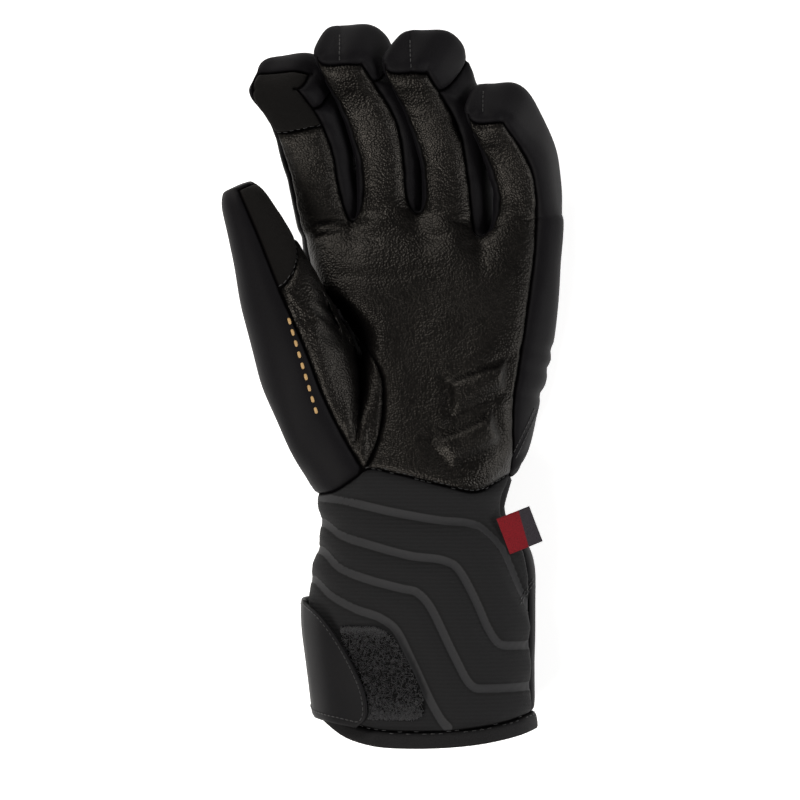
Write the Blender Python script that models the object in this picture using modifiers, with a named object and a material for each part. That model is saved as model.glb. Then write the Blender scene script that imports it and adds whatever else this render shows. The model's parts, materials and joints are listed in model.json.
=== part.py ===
"""Left-hand heated glove, filled as if worn, lying on its back with the palm up.

X runs across the hand toward the little finger, Y toward the fingertips and Z up through the
palm. The glove is one soft surface made of lofts: rings along the cuff and the palm, and tubes
for the fingers and the thumb that grow out of them. That surface is cut into sewn panels, and
each panel is a solid of its own wall thickness with a narrow seam gap to its neighbours.
"""

import bmesh
import bpy
import numpy as np

# Driving sizes, in metres.
FINGER_WIDTH = 0.0256
FINGER_DEPTH = 0.0245
FINGER_SPACING = 0.0019
INDEX_LENGTH = 0.0740
MIDDLE_LENGTH = 0.0810
RING_LENGTH = 0.0780
LITTLE_LENGTH = 0.0585
PALM_LENGTH = 0.1150
PALM_DEPTH = 0.0450
WRIST_WIDTH = 0.0810
WRIST_DEPTH = 0.0540
CUFF_LENGTH = 0.1087
CUFF_WIDTH = 0.0970
CUFF_DEPTH = 0.0620
HEM_HEIGHT = 0.0062
THUMB_LENGTH = 0.1140
THUMB_WIDTH = 0.0385
THUMB_DEPTH = 0.0340
SHELL_WALL = 0.0028
LEATHER_WALL = 0.0020
KNIT_WALL = 0.0030
HEM_WALL = 0.0040
SUEDE_WALL = 0.0022
SEAM_GAP = 0.0005
LAY_GAP = 0.0006
BAND_DEPTH = 0.0011
STRAP_WALL = 0.0020
STRAP_STANDOFF = 0.0004
LOOP_WALL = 0.0014
HEEL_PAD_HEIGHT = 0.0024
LABEL_WIDTH = 0.0155
LABEL_LENGTH = 0.0160
LABEL_WALL = 0.0013

PITCH = FINGER_WIDTH + FINGER_SPACING

# Columns of each side of a ring.
FRONT_PER_FINGER = 4
SIDE_COLUMNS = 5
PALM_ROWS = 8
THUMB_ROWS_AT_PALM = 6

# Finger centre lines: stations are shares of the length, x in finger pitches from the hand's axis.
STATIONS = (0.0, 0.25, 0.5, 0.75, 1.0)
HALVES = (0.0, 0.5, 1.0)
FINGERS = {
    # name: length, x at the stations, base share of the palm, pitch at base and tip (degrees),
    # then at base, middle and tip: width, and lean of the palm side to the left, both as shares
    # of FINGER_WIDTH; last the angle of the right seam
    "index": (INDEX_LENGTH, (-1.00, -1.08, -1.22, -1.47, -1.75), 0.965, (5, 46),
              (1.01, 1.04, 1.04), (0.12, 0.18, 0.20), 45.0),
    "middle": (MIDDLE_LENGTH, (-0.01, -0.01, -0.13, -0.41, -0.77), 1.005, (4, 46),
               (0.93, 1.00, 1.05), (0.18, 0.18, 0.18), 45.0),
    "ring": (RING_LENGTH, (1.03, 1.01, 0.88, 0.61, 0.29), 1.005, (4, 46),
             (0.95, 0.94, 0.90), (0.19, 0.18, 0.18), 45.0),
    "little": (LITTLE_LENGTH, (2.14, 2.13, 2.02, 1.79, 1.50), 0.975, (6, 46),
               (1.00, 1.01, 0.94), (0.18, 0.18, 0.18), 63.0),
}  # fmt: skip
FINGER_BASE_HEIGHT = 0.70  # centre of a finger's base over the table, in finger depths
TIP_ROUNDING = 0.33  # length of the rounded end, in finger depths
TIP_SKEW = 0.21  # how much further the left of each fingertip reaches, in finger widths

# Seam lines of the palm: along = share of the palm's length, x = finger pitches.
PALM_STATIONS = (0.0, 0.125, 0.25, 0.375, 0.5, 0.625, 0.75, 0.875, 1.0)
FRONT_LEFT_X = (-0.49, -0.27, -0.155, -0.15, -0.40, -0.80, -1.16, -1.33, -1.40)
FRONT_RIGHT_X = (1.66, 1.77, 1.83, 1.92, 1.99, 2.08, 2.16, 2.22, 2.25)
BACK_LEFT_X = (-0.80, -0.78, -0.78, -0.80, -0.86, -0.95, -1.05, -1.16, -1.26)
BACK_RIGHT_X = (1.38, 1.60, 1.80, 1.95, 2.08, 2.18, 2.26, 2.32, 2.36)
WRIST_KNOTS = (0.255, 0.515, 0.77)  # the three inner seams' shares at the wrist
CROTCH_X = (-0.64, 0.375, 1.36)
CROTCH_ALONG = (0.998, 1.024, 0.935)
TOP_ENDS_ALONG = (0.925, 1.00)
WEB_LEAN = (0.22, 0.29, 0.36)  # the back of each crotch lies right of its front, in pitches

# Outlines seen from the front: along, x of the left and of the right edge (pitches).
PALM_EDGES = (
    (-0.06, -1.21, 1.735),
    (0.05, -1.22, 1.96),
    (0.11, -1.22, 2.08),
    (0.17, -1.22, 2.18),
    (0.28, -1.22, 2.27),
    (0.45, -1.22, 2.45),
    (0.67, -1.21, 2.58),
    (0.84, -1.37, 2.65),
    (0.95, -1.42, 2.69),
    (1.04, -1.48, 2.70),
)
# Palm heights: along, front and back over the table in palm depths (negative is pressed flat).
PALM_HEIGHTS = (
    (-0.06, 1.16, 0.03),
    (0.10, 1.12, -0.02),
    (0.25, 1.08, -0.06),
    (0.50, 1.00, -0.07),
    (0.75, 0.92, -0.05),
    (0.92, 0.77, 0.00),
    (1.04, 0.68, 0.05),
)
# Cuff: share down from the wrist, half width from wrist (0) to hem (1), centre x in pitches,
# depth from wrist (0) to hem (1), height of the back in cuff depths.
CUFF_SHAPE = (
    (-0.08, 0.02, 0.26, 0.00, 0.020),
    (0.06, 0.00, 0.26, 0.00, 0.015),
    (0.12, -0.16, 0.30, 0.10, 0.000),
    (0.18, 0.20, 0.38, 0.25, -0.010),
    (0.24, 0.57, 0.48, 0.40, -0.020),
    (0.36, 0.97, 0.465, 0.65, -0.025),
    (0.50, 0.99, 0.45, 0.85, -0.025),
    (0.80, 0.84, 0.495, 1.00, -0.025),
    (1.02, 0.78, 0.505, 1.00, -0.025),
)
SEAM_IN = ((-0.05, 0.985), (0.10, 0.955), (0.25, 0.93), (0.5, 0.955), (1.0, 0.972))
# Bands pressed into the cuff: (share across from the left edge to the right seam, share down).
WRIST_LINE = (
    (0.0, 0.045), (0.08, 0.044), (0.15, 0.017), (0.25, -0.070), (0.39, -0.049),
    (0.54, -0.022), (0.69, 0.006), (0.85, 0.030), (0.93, 0.008), (1.0, -0.040),
)  # fmt: skip
BAND_LINES = (
    ((0.0, 0.075), (0.10, 0.055), (0.43, 0.105), (0.67, 0.140), (0.85, 0.162), (0.90, 0.225),
     (0.93, 0.345), (1.0, 0.490)),
    ((0.0, 0.150), (0.11, 0.194), (0.27, 0.233), (0.46, 0.271), (0.62, 0.291), (0.70, 0.316),
     (0.76, 0.403), (0.80, 0.520), (0.85, 0.597), (0.91, 0.620), (1.0, 0.624)),
    ((0.0, 0.255), (0.13, 0.321), (0.27, 0.363), (0.42, 0.398), (0.51, 0.420), (0.58, 0.507),
     (0.65, 0.654), (0.70, 0.758), (0.76, 0.781), (1.0, 0.785)),
    ((0.0, 0.371), (0.09, 0.425), (0.21, 0.476), (0.36, 0.522), (0.41, 0.565), (0.46, 0.669),
     (0.52, 0.808), (0.59, 0.890), (1.0, 0.860)),
)  # fmt: skip
BAND_REACH = ((0.08, 1.0), (0.0, 1.0), (0.0, 1.0), (0.0, 0.60))
HEM_LINE = (
    (0.0, 0.895), (0.05, 0.920), (0.10, 0.962), (0.16, 0.990), (0.44, 1.012), (0.72, 1.000),
    (0.92, 0.972), (1.0, 0.955),
)  # fmt: skip
BACK_WRIST, BACK_HEM = 0.045, 0.955
FRONT_START = 0.25  # where the palm's left seam meets the wrist, as a share across
GATHER_DEPTH = 0.0014

# Thumb centre line: share of its length, x (pitches), height (thumb depths), half width and
# half depth (shares of THUMB_WIDTH and THUMB_DEPTH).
THUMB_LINE = (
    (0.00, -1.00, 0.90, 0.57, 0.50),
    (0.20, -1.24, 1.12, 0.51, 0.51),
    (0.36, -1.41, 1.24, 0.505, 0.50),
    (0.60, -1.76, 1.34, 0.435, 0.45),
    (0.80, -2.05, 1.40, 0.33, 0.38),
    (1.00, -2.39, 1.44, 0.245, 0.31),
)
THUMB_BASE_ALONG = 0.128
THUMB_CROTCH_AT = 0.54
THUMB_FOLD = 0.29  # depth of the fold between thumb and palm, in thumb half depths

HEEL_PADS = {
    # corners: x in pitches, along the palm
    "heel_pad_upper": ((0.84, 0.385), (1.73, 0.452), (1.71, 0.362), (0.93, 0.262)),
    "heel_pad_lower": ((0.60, 0.165), (1.50, 0.262), (1.63, 0.165), (0.92, 0.070)),
}
LABEL_AT = 0.20
LABEL_TURN, LABEL_TILT = 21.0, 14.0
# Strap and loop pad: share down the cuff, left and right edge as shares across the front.
STRAP_SPAN = 0.34
STRAP_EDGES = (
    # down, share across at the free edge
    (0.455, 0.02), (0.505, 0.09), (0.56, 0.135), (0.64, 0.18), (0.71, 0.21),
    (0.78, 0.235), (0.85, 0.245), (0.90, 0.235), (0.932, 0.19),
)  # fmt: skip
LOOP_EDGES = ((0.545, 0.16, 0.30), (0.575, 0.155, 0.37), (0.66, 0.16, 0.425), (0.75, 0.175, 0.47),
              (0.83, 0.20, 0.495), (0.875, 0.22, 0.49), (0.90, 0.24, 0.44))  # fmt: skip

COLOURS = {
    "leather": ((0.014, 0.013, 0.012, 1.0), 0.42),
    "softshell": ((0.008, 0.008, 0.009, 1.0), 0.85),
    "suede": ((0.010, 0.009, 0.009, 1.0), 0.95),
    "knit": ((0.022, 0.022, 0.023, 1.0), 0.88),
    "hem": ((0.012, 0.012, 0.012, 1.0), 0.85),
    "strap": ((0.011, 0.011, 0.012, 1.0), 0.70),
    "loop": ((0.006, 0.006, 0.007, 1.0), 1.0),
    "label": ((0.40, 0.02, 0.03, 1.0), 0.75),
}


def table(rows, column, at):
    """Smooth reading of one column of a table whose first column is the station."""
    xs = np.array([row[0] for row in rows], float)
    ys = np.array([row[column] for row in rows], float)
    return smooth_line(xs, ys, at)


def smooth_line(xs, ys, at):
    """Monotone cubic through the points (xs, ys), held flat beyond both ends."""
    xs, ys = np.asarray(xs, float), np.asarray(ys, float)
    at = np.clip(np.asarray(at, float), xs[0], xs[-1])
    steps = np.diff(xs)
    slopes = np.diff(ys) / steps
    inner = np.where(slopes[:-1] * slopes[1:] > 0, 0.5 * (slopes[:-1] + slopes[1:]), 0.0)
    limit = 3.0 * np.minimum(np.abs(slopes[:-1]), np.abs(slopes[1:]))
    inner = np.clip(inner, -limit, limit)
    ends = np.concatenate([[slopes[0]], inner, [slopes[-1]]])
    i = np.clip(np.searchsorted(xs, at, side="right") - 1, 0, len(xs) - 2)
    u = (at - xs[i]) / steps[i]
    h00, h10 = (1 + 2 * u) * (1 - u) ** 2, u * (1 - u) ** 2
    h01, h11 = u * u * (3 - 2 * u), u * u * (u - 1)
    return h00 * ys[i] + h10 * steps[i] * ends[i] + h01 * ys[i + 1] + h11 * steps[i] * ends[i + 1]


def ease(t):
    """Smooth step from 0 to 1."""
    t = np.clip(t, 0.0, 1.0)
    return t * t * (3 - 2 * t)


def power(value, exponent):
    return np.sign(value) * np.abs(value) ** exponent


def palm_y(along):
    return CUFF_LENGTH + PALM_LENGTH * along


def palm_section(y):
    """Left edge, right edge, back height and front height of the palm's ring at y."""
    along = (y - CUFF_LENGTH) / PALM_LENGTH
    left = table(PALM_EDGES, 1, along) * PITCH
    right = table(PALM_EDGES, 2, along) * PITCH
    wrist = 1 - ease((along + 0.06) / 0.22)
    middle = table(CUFF_SHAPE, 2, 0.0) * PITCH
    left = left * (1 - wrist) + (middle - WRIST_WIDTH / 2) * wrist
    right = right + wrist * (middle + WRIST_WIDTH / 2 - PALM_EDGES[0][2] * PITCH)
    front = table(PALM_HEIGHTS, 1, along) * PALM_DEPTH
    front = front * (1 - wrist) + WRIST_DEPTH * wrist
    back = table(PALM_HEIGHTS, 2, along) * PALM_DEPTH
    back = back * (1 - wrist) + table(CUFF_SHAPE, 4, 0.0) * CUFF_DEPTH * wrist
    return left, right, back, front


def cuff_section(y):
    """The same for the cuff's ring."""
    down = (CUFF_LENGTH - y) / CUFF_LENGTH
    share = table(CUFF_SHAPE, 1, down)
    half = (WRIST_WIDTH + (CUFF_WIDTH - WRIST_WIDTH) * share) / 2
    middle = table(CUFF_SHAPE, 2, down) * PITCH
    deep = WRIST_DEPTH + (CUFF_DEPTH - WRIST_DEPTH) * table(CUFF_SHAPE, 3, down)
    back = table(CUFF_SHAPE, 4, down) * CUFF_DEPTH
    return middle - half, middle + half, back, deep


def section(y):
    """Palm section above the wrist and cuff section below it, blended across the wrist seam."""
    here = ease((y - CUFF_LENGTH * 0.93) / (CUFF_LENGTH * 0.16))
    palm, cuff = palm_section(y), cuff_section(y)
    return tuple(p * here + c * (1 - here) for p, c in zip(palm, cuff))


def ring_power(y):
    """Squareness of the ring: rounder at the cuff, fuller at the palm."""
    return 2.35 + 0.35 * ease((y - CUFF_LENGTH) / (0.3 * PALM_LENGTH))


def ring_point(angle, y):
    """Point of the ring at y; the angle is 0 at the right edge and 90 degrees at the front."""
    left, right, back, front = section(y)
    n = ring_power(y)
    x = (left + right) / 2 + (right - left) / 2 * power(np.cos(angle), 2 / n)
    z = (front + back) / 2 + (front - back) / 2 * power(np.sin(angle), 2 / n)
    return np.stack([x, y + 0 * x, np.maximum(z, 0.0)], -1)


def ring_angle(x, y):
    """Angle of the front point of the ring whose place across is x."""
    left, right, _, _ = section(y)
    n = ring_power(y)
    share = np.clip((x - (left + right) / 2) / ((right - left) / 2), -0.999, 0.999)
    return np.arccos(power(share, n / 2))


def palm_relief(x, y):
    """Hollow of the palm and the mound of its heel, in metres off the plain section."""
    along, across = (y - CUFF_LENGTH) / PALM_LENGTH, x / PITCH
    hollow = np.exp(-(((along - 0.60) / 0.22) ** 2) - ((across - 0.3) / 0.9) ** 2)
    heel = np.exp(-(((along - 0.26) / 0.20) ** 2) - ((across - 1.4) / 0.55) ** 2)
    crease = np.exp(-(((along - 0.93 - 0.02 * across) / 0.022) ** 2))
    return 0.0010 * heel - 0.0035 * hollow - 0.0009 * crease


def scallop(knot, along):
    """How deep the palm dips at a finger crotch."""
    depth = 0.0
    for k in (1, 2, 3):
        depth = depth + np.exp(-(((knot - k) / 0.20) ** 2))
    return 0.17 * FINGER_DEPTH * depth * ease((along - 0.80) / 0.20)


def wrist_down(across):
    return smooth_line(*zip(*WRIST_LINE), across)


def palm_front(knot, along):
    """Point of the palm; knot runs 0 to 4 from the thumb side to the little finger side."""
    knot, along = np.broadcast_arrays(np.asarray(knot, float), np.asarray(along, float))
    left = smooth_line(PALM_STATIONS, FRONT_LEFT_X, along)
    right = smooth_line(PALM_STATIONS, FRONT_RIGHT_X, along)
    top_knots = np.array([FRONT_LEFT_X[-1], *CROTCH_X, FRONT_RIGHT_X[-1]])
    top_share = (top_knots - top_knots[0]) / (top_knots[-1] - top_knots[0])
    low_share = np.array([0.0, *WRIST_KNOTS, 1.0])
    share = np.interp(knot, range(5), low_share) * (1 - along) + np.interp(
        knot, range(5), top_share
    ) * along
    x = (left + (right - left) * share) * PITCH
    across = FRONT_START + (1 - FRONT_START) * np.interp(knot, range(5), low_share)
    low_y = CUFF_LENGTH * (1 - wrist_down(across))
    plain = FRONT_LEFT_X[0] + (FRONT_RIGHT_X[0] - FRONT_LEFT_X[0]) * np.interp(
        knot, range(5), low_share
    )
    x = x + (cuff_front_x(across, low_y) - plain * PITCH) * (1 - ease(along / 0.3))
    top = np.interp(knot, range(5), (TOP_ENDS_ALONG[0], *CROTCH_ALONG, TOP_ENDS_ALONG[1]))
    y = low_y * (1 - along) + palm_y(top) * along
    point = ring_point(ring_angle(x, y), y)
    inside = np.sin(np.pi * np.clip(knot / 4, 0, 1)) ** 0.5 * ease(along / 0.1)
    point[..., 2] += palm_relief(x, y) * inside - scallop(knot, along)
    return point


def palm_back(knot, along):
    """Point of the back of the hand; knot 0 is the thumb side."""
    knot, along = np.broadcast_arrays(np.asarray(knot, float), np.asarray(along, float))
    left = smooth_line(PALM_STATIONS, BACK_LEFT_X, along)
    right = smooth_line(PALM_STATIONS, BACK_RIGHT_X, along)
    top_knots = np.array([BACK_LEFT_X[-1], *np.add(CROTCH_X, WEB_LEAN), BACK_RIGHT_X[-1]])
    top_share = (top_knots - top_knots[0]) / (top_knots[-1] - top_knots[0])
    share = knot / 4 * (1 - along) + np.interp(knot, range(5), top_share) * along
    x = (left + (right - left) * share) * PITCH
    low_y = CUFF_LENGTH * (1 - BACK_WRIST)
    plain = (BACK_LEFT_X[0] + (BACK_RIGHT_X[0] - BACK_LEFT_X[0]) * knot / 4) * PITCH
    x = x + (cuff_back_x(low_y, knot) - plain) * (1 - ease(along / 0.3))
    top = np.interp(knot, range(5), (0.96, *CROTCH_ALONG, 1.0))
    y = low_y * (1 - along) + palm_y(top) * along
    point = ring_point(-ring_angle(x, y), y)
    point[..., 2] += scallop(knot, along)
    return point


def side_point(front, back, share, right):
    """Ring arc from the front seam point (share 0) to the back seam point (share 1)."""
    first, last = ring_angle(front[..., 0], front[..., 1]), -ring_angle(back[..., 0], back[..., 1])
    if not right:
        last = last + 2 * np.pi
    turn = ease(share) if right else share
    y = front[..., 1] * (1 - turn) + back[..., 1] * turn
    point = ring_point(first * (1 - share) + last * share, y)
    plain = [
        ring_point(ring_angle(front[..., 0], front[..., 1]), front[..., 1]),
        ring_point(-ring_angle(back[..., 0], back[..., 1]), back[..., 1]),
    ]
    point = point + (front - plain[0]) * (1 - ease(share * 3))[..., None]
    return point + (back - plain[1]) * ease(share * 3 - 2)[..., None]


def palm_side(share, along, right):
    share, along = np.broadcast_arrays(np.asarray(share, float), np.asarray(along, float))
    knot = 4.0 if right else 0.0
    return side_point(palm_front(knot, along), palm_back(knot, along), share, right)


def web(knot, share):
    """Line of a finger crotch from the palm side (share 0) to the back (share 1)."""
    share = np.asarray(share, float)[..., None]
    front, back = palm_front(float(knot), 1.0), palm_back(float(knot), 1.0)
    point = front * (1 - share) + back * share
    point[..., 1] -= 0.10 * FINGER_DEPTH * np.sin(np.pi * share[..., 0])
    return point


def finger_frame(name, at):
    """Centre, side vector and palm-side normal of a finger's centre line at share `at`."""
    length, xs, base, (low, high) = FINGERS[name][:4]
    fine = np.linspace(-0.2, 1, 241)
    pitch = np.radians(low + (high - low) * np.maximum(fine, 0) ** 1.25)
    step = length * (fine[1] - fine[0])

    def grow(values):
        run = np.concatenate([[0], np.cumsum((values[1:] + values[:-1]) / 2)]) * step
        return run - np.interp(0.0, fine, run)

    x = smooth_line(STATIONS, xs, fine) * PITCH
    y = palm_y(base) + grow(np.cos(pitch))
    z = FINGER_BASE_HEIGHT * FINGER_DEPTH + grow(np.sin(pitch))
    line = np.stack([x, y, z], -1)
    pick = lambda values: np.stack([np.interp(at, fine, values[:, i]) for i in range(3)], -1)
    along = pick(np.gradient(line, axis=0))
    along /= np.linalg.norm(along, axis=-1, keepdims=True)
    side = np.array([1.0, 0, 0]) - along[..., :1] * along
    side /= np.linalg.norm(side, axis=-1, keepdims=True)
    return pick(line), along, side, np.cross(side, along)


def tube_point(frame, width, depth, angle, exponent, shear=0.0, advance=0.0):
    centre, along, side, normal = frame
    cx, cz = power(np.cos(angle), 2 / exponent), power(np.sin(angle), 2 / exponent)
    return (
        centre
        + side * (width / 2 * cx - shear * cz)[..., None]
        + normal * (depth / 2 * cz)[..., None]
        + along * np.asarray(advance)[..., None]
    )


def finger_point(name, angle, at, rim=0.0):
    """Point of a finger's tube; rim (radians) runs over the rounded end past its last ring."""
    angle, at, rim = np.broadcast_arrays(angle, at, rim)
    length, widths, leans = (FINGERS[name][i] for i in (0, 4, 5))
    end = TIP_ROUNDING * FINGER_DEPTH
    share = at * (1 - end / length)
    knuckle, crease = np.exp(-(((at - 0.55) / 0.16) ** 2)), np.exp(-(((at - 0.36) / 0.07) ** 2))
    ball = 1 + 0.03 * knuckle - 0.035 * crease
    shrink = np.cos(rim) ** 0.38
    skew = TIP_SKEW * FINGER_WIDTH * ease((at - 0.55) / 0.45) * shrink
    advance = end * np.sin(rim) ** 0.9 - skew * np.cos(angle)
    frame = finger_frame(name, share)
    width = smooth_line(HALVES, widths, at) * FINGER_WIDTH * shrink * ball
    depth = FINGER_DEPTH * shrink * ball
    shear = smooth_line(HALVES, leans, at) * FINGER_WIDTH * shrink
    square = 3.0 + 0.9 * ease((at - 0.6) / 0.4)
    return tube_point(frame, width, depth, angle, square, shear, advance)


def finger_base(index, side, share):
    """Point of the loop on the palm that a finger grows from."""
    share = np.asarray(share, float)
    if side == "front":
        return palm_front(index + share, 1.0)
    if side == "right":
        return palm_side(share, 1.0, True) if index == 3 else web(index + 1, share)
    if side == "back":
        return palm_back(index + 1 - share, 1.0)
    return palm_side(1 - share, 1.0, False) if index == 0 else web(index, 1 - share)


SIDE_ANGLES = {"front": (135, 45), "right": (45, -45), "back": (-45, -135), "left": (-135, -225)}


def finger_side(index, side, share, at, rim=0.0):
    """Point of one side of a finger, blended from its base loop into the tube."""
    name = list(FINGERS)[index]
    share, at, rim = np.broadcast_arrays(
        np.asarray(share, float), np.asarray(at, float), np.asarray(rim, float)
    )
    first, last = SIDE_ANGLES[side]
    if side == "front":
        last = FINGERS[name][6]
    if side == "right":
        first = FINGERS[name][6]
    angle = np.radians(first + (last - first) * share)
    base = finger_base(index, side, share)
    start = (base[..., 1] - palm_y(FINGERS[name][2])) / FINGERS[name][0]
    tube = finger_point(name, angle, start + (1 - start) * at, rim)
    leave = (1 - (1 - np.clip(at / 0.26, 0, 1)) ** 2.4)[..., None]
    return base * (1 - leave) + tube * leave


def thumb_frame(at):
    fine = np.linspace(0, 1, 241)
    x = table(THUMB_LINE, 1, fine) * PITCH
    y = palm_y(THUMB_BASE_ALONG) + fine * THUMB_LENGTH
    z = table(THUMB_LINE, 2, fine) * THUMB_DEPTH
    line = np.stack([x, y, z], -1)
    pick = lambda values: np.stack([np.interp(at, fine, values[:, i]) for i in range(3)], -1)
    along = pick(np.gradient(line, axis=0))
    along /= np.linalg.norm(along, axis=-1, keepdims=True)
    up = np.array([0, 0, 1.0]) - along[..., 2:] * along
    up /= np.linalg.norm(up, axis=-1, keepdims=True)
    return pick(line), along, np.cross(along, up), up


THUMB_START = {"leather": 90.0, "inner": 0.0, "back": -90.0, "outer": -180.0}


def thumb_base(side, share):
    """Loop on the palm's thumb side: up the palm seam, across, down the back and the wrist."""
    share = np.asarray(share, float)
    reach = THUMB_ROWS_AT_PALM / PALM_ROWS
    if side == "leather":
        return palm_front(0.0, reach * share)
    if side == "inner":
        return palm_side(share, reach, False)
    if side == "back":
        return palm_back(0.0, reach * (1 - share))
    return wrist_left(share)


def thumb_point(side, share, at, rim=0.0):
    share, at, rim = np.broadcast_arrays(
        np.asarray(share, float), np.asarray(at, float), np.asarray(rim, float)
    )
    start = {
        "leather": THUMB_CROTCH_AT * share**1.2,
        "inner": THUMB_CROTCH_AT + 0 * share,
        "back": THUMB_CROTCH_AT * (1 - share) ** 1.2,
        "outer": 0 * share,
    }[side]
    place = start + (1 - start) * at
    end = 0.40 * THUMB_DEPTH
    tube_at = place * (1 - end / THUMB_LENGTH)
    twist = 22.0 * (1 - place) ** 2
    angle = np.radians(THUMB_START[side] - 90.0 * share - twist)
    shrink = np.cos(rim) ** 0.75
    frame = thumb_frame(tube_at)
    width = 2 * table(THUMB_LINE, 3, tube_at) * THUMB_WIDTH * shrink
    depth = 2 * table(THUMB_LINE, 4, tube_at) * THUMB_DEPTH * shrink
    tube = tube_point(frame, width, depth, angle, 2.3, 0.0, end * np.sin(rim) ** 0.9)
    leave = 1 - (1 - np.clip(at / 0.34, 0, 1)) ** 2
    if side == "outer":
        leave = leave + (1 - (1 - np.clip(at / 0.15, 0, 1)) ** 3 - leave) * np.sin(np.pi * share)
    point = thumb_base(side, share) * (1 - leave)[..., None] + tube * leave[..., None]
    if side == "leather":
        near = np.sin(np.pi * share**2.2)
        bell = 4 * leave * (1 - leave) * np.sin(np.pi * np.clip(at / 0.30, 0, 1)) ** 0.5
        point[..., 2] -= THUMB_FOLD * THUMB_DEPTH * near * bell**1.5
    return point


def cuff_seam_x(y):
    """Place across of the seam between the cuff's front and its back, on the right."""
    down = (CUFF_LENGTH - y) / CUFF_LENGTH
    left, right, _, _ = section(y)
    return (left + right) / 2 + (right - left) / 2 * table(SEAM_IN, 1, down)


def cuff_rows(across):
    """Shares down the cuff of its eleven rows: wrist, then a crown and a band by turns, hem."""
    hem = smooth_line(*zip(*HEM_LINE), across) - HEM_HEIGHT / CUFF_LENGTH
    lines = [wrist_down(across)]
    lines += [smooth_line(*zip(*line), across) for line in BAND_LINES]
    lines.append(hem)
    rows = [lines[0]]
    for above, below in zip(lines[:-1], lines[1:]):
        rows += [(above + below) / 2, below]
    least = 0.012
    for i in range(1, len(rows)):
        rows[i] = np.maximum(rows[i], rows[i - 1] + least)
    rows[-1] = hem
    for i in range(len(rows) - 2, 0, -1):
        rows[i] = np.minimum(rows[i], rows[i + 1] - least)
    return np.array(rows)


def band_recess(row, across):
    """How deep the surface lies at a row: the bands are pressed in, the crowns puff out."""
    if row % 2 or row in (0, 10):
        return 0.0 * across
    first, last = BAND_REACH[row // 2 - 1]
    start = 1.0 if first == 0 else ease((across - first) / 0.05)
    return BAND_DEPTH * start * ease((last - across) / 0.04)


def across_of_left(share):
    """Share across the front for the left side, from the palm's seam (0) round to the back (1)."""
    return FRONT_START * np.clip(1 - share / 0.55, 0, 1) ** 1.6


def cuff_front_x(across, y):
    """Place across of a share of the cuff's front (0 left outline, 1 right seam)."""
    left = section(y)[0]
    return left + (cuff_seam_x(y) - left) * across


def cuff_front_point(across, y):
    x = cuff_front_x(across, y)
    return ring_point(ring_angle(x, y), y)


def left_down(share, front_down, back_down):
    """Share down of a line on the left side, from the back (share 0) to the front (share 1)."""
    toward_back = ease((1 - share - 0.55) / 0.45)
    return front_down * (1 - toward_back) + back_down * toward_back


def wrist_left(share):
    """Wrist seam on the left side, from the back (share 0) to the palm's seam (share 1)."""
    across = across_of_left(1 - share)
    y = CUFF_LENGTH * (1 - left_down(share, wrist_down(across), BACK_WRIST))
    front = cuff_front_point(np.array(FRONT_START), CUFF_LENGTH * (1 - wrist_down(FRONT_START)))
    back = palm_back(0.0, 0.0)
    first = ring_angle(front[..., 0], front[..., 1])
    last = 2 * np.pi - ring_angle(back[..., 0], back[..., 1])
    return ring_point(last + (first - last) * share, y)


def cuff_back_x(y, knot):
    """Place across of the back's columns, from the thumb side to the right seam."""
    left, right, _, _ = section(y)
    start, stop = left + 0.17 * (right - left), left + 0.86 * (right - left)
    return start + (stop - start) * knot / 4


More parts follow.
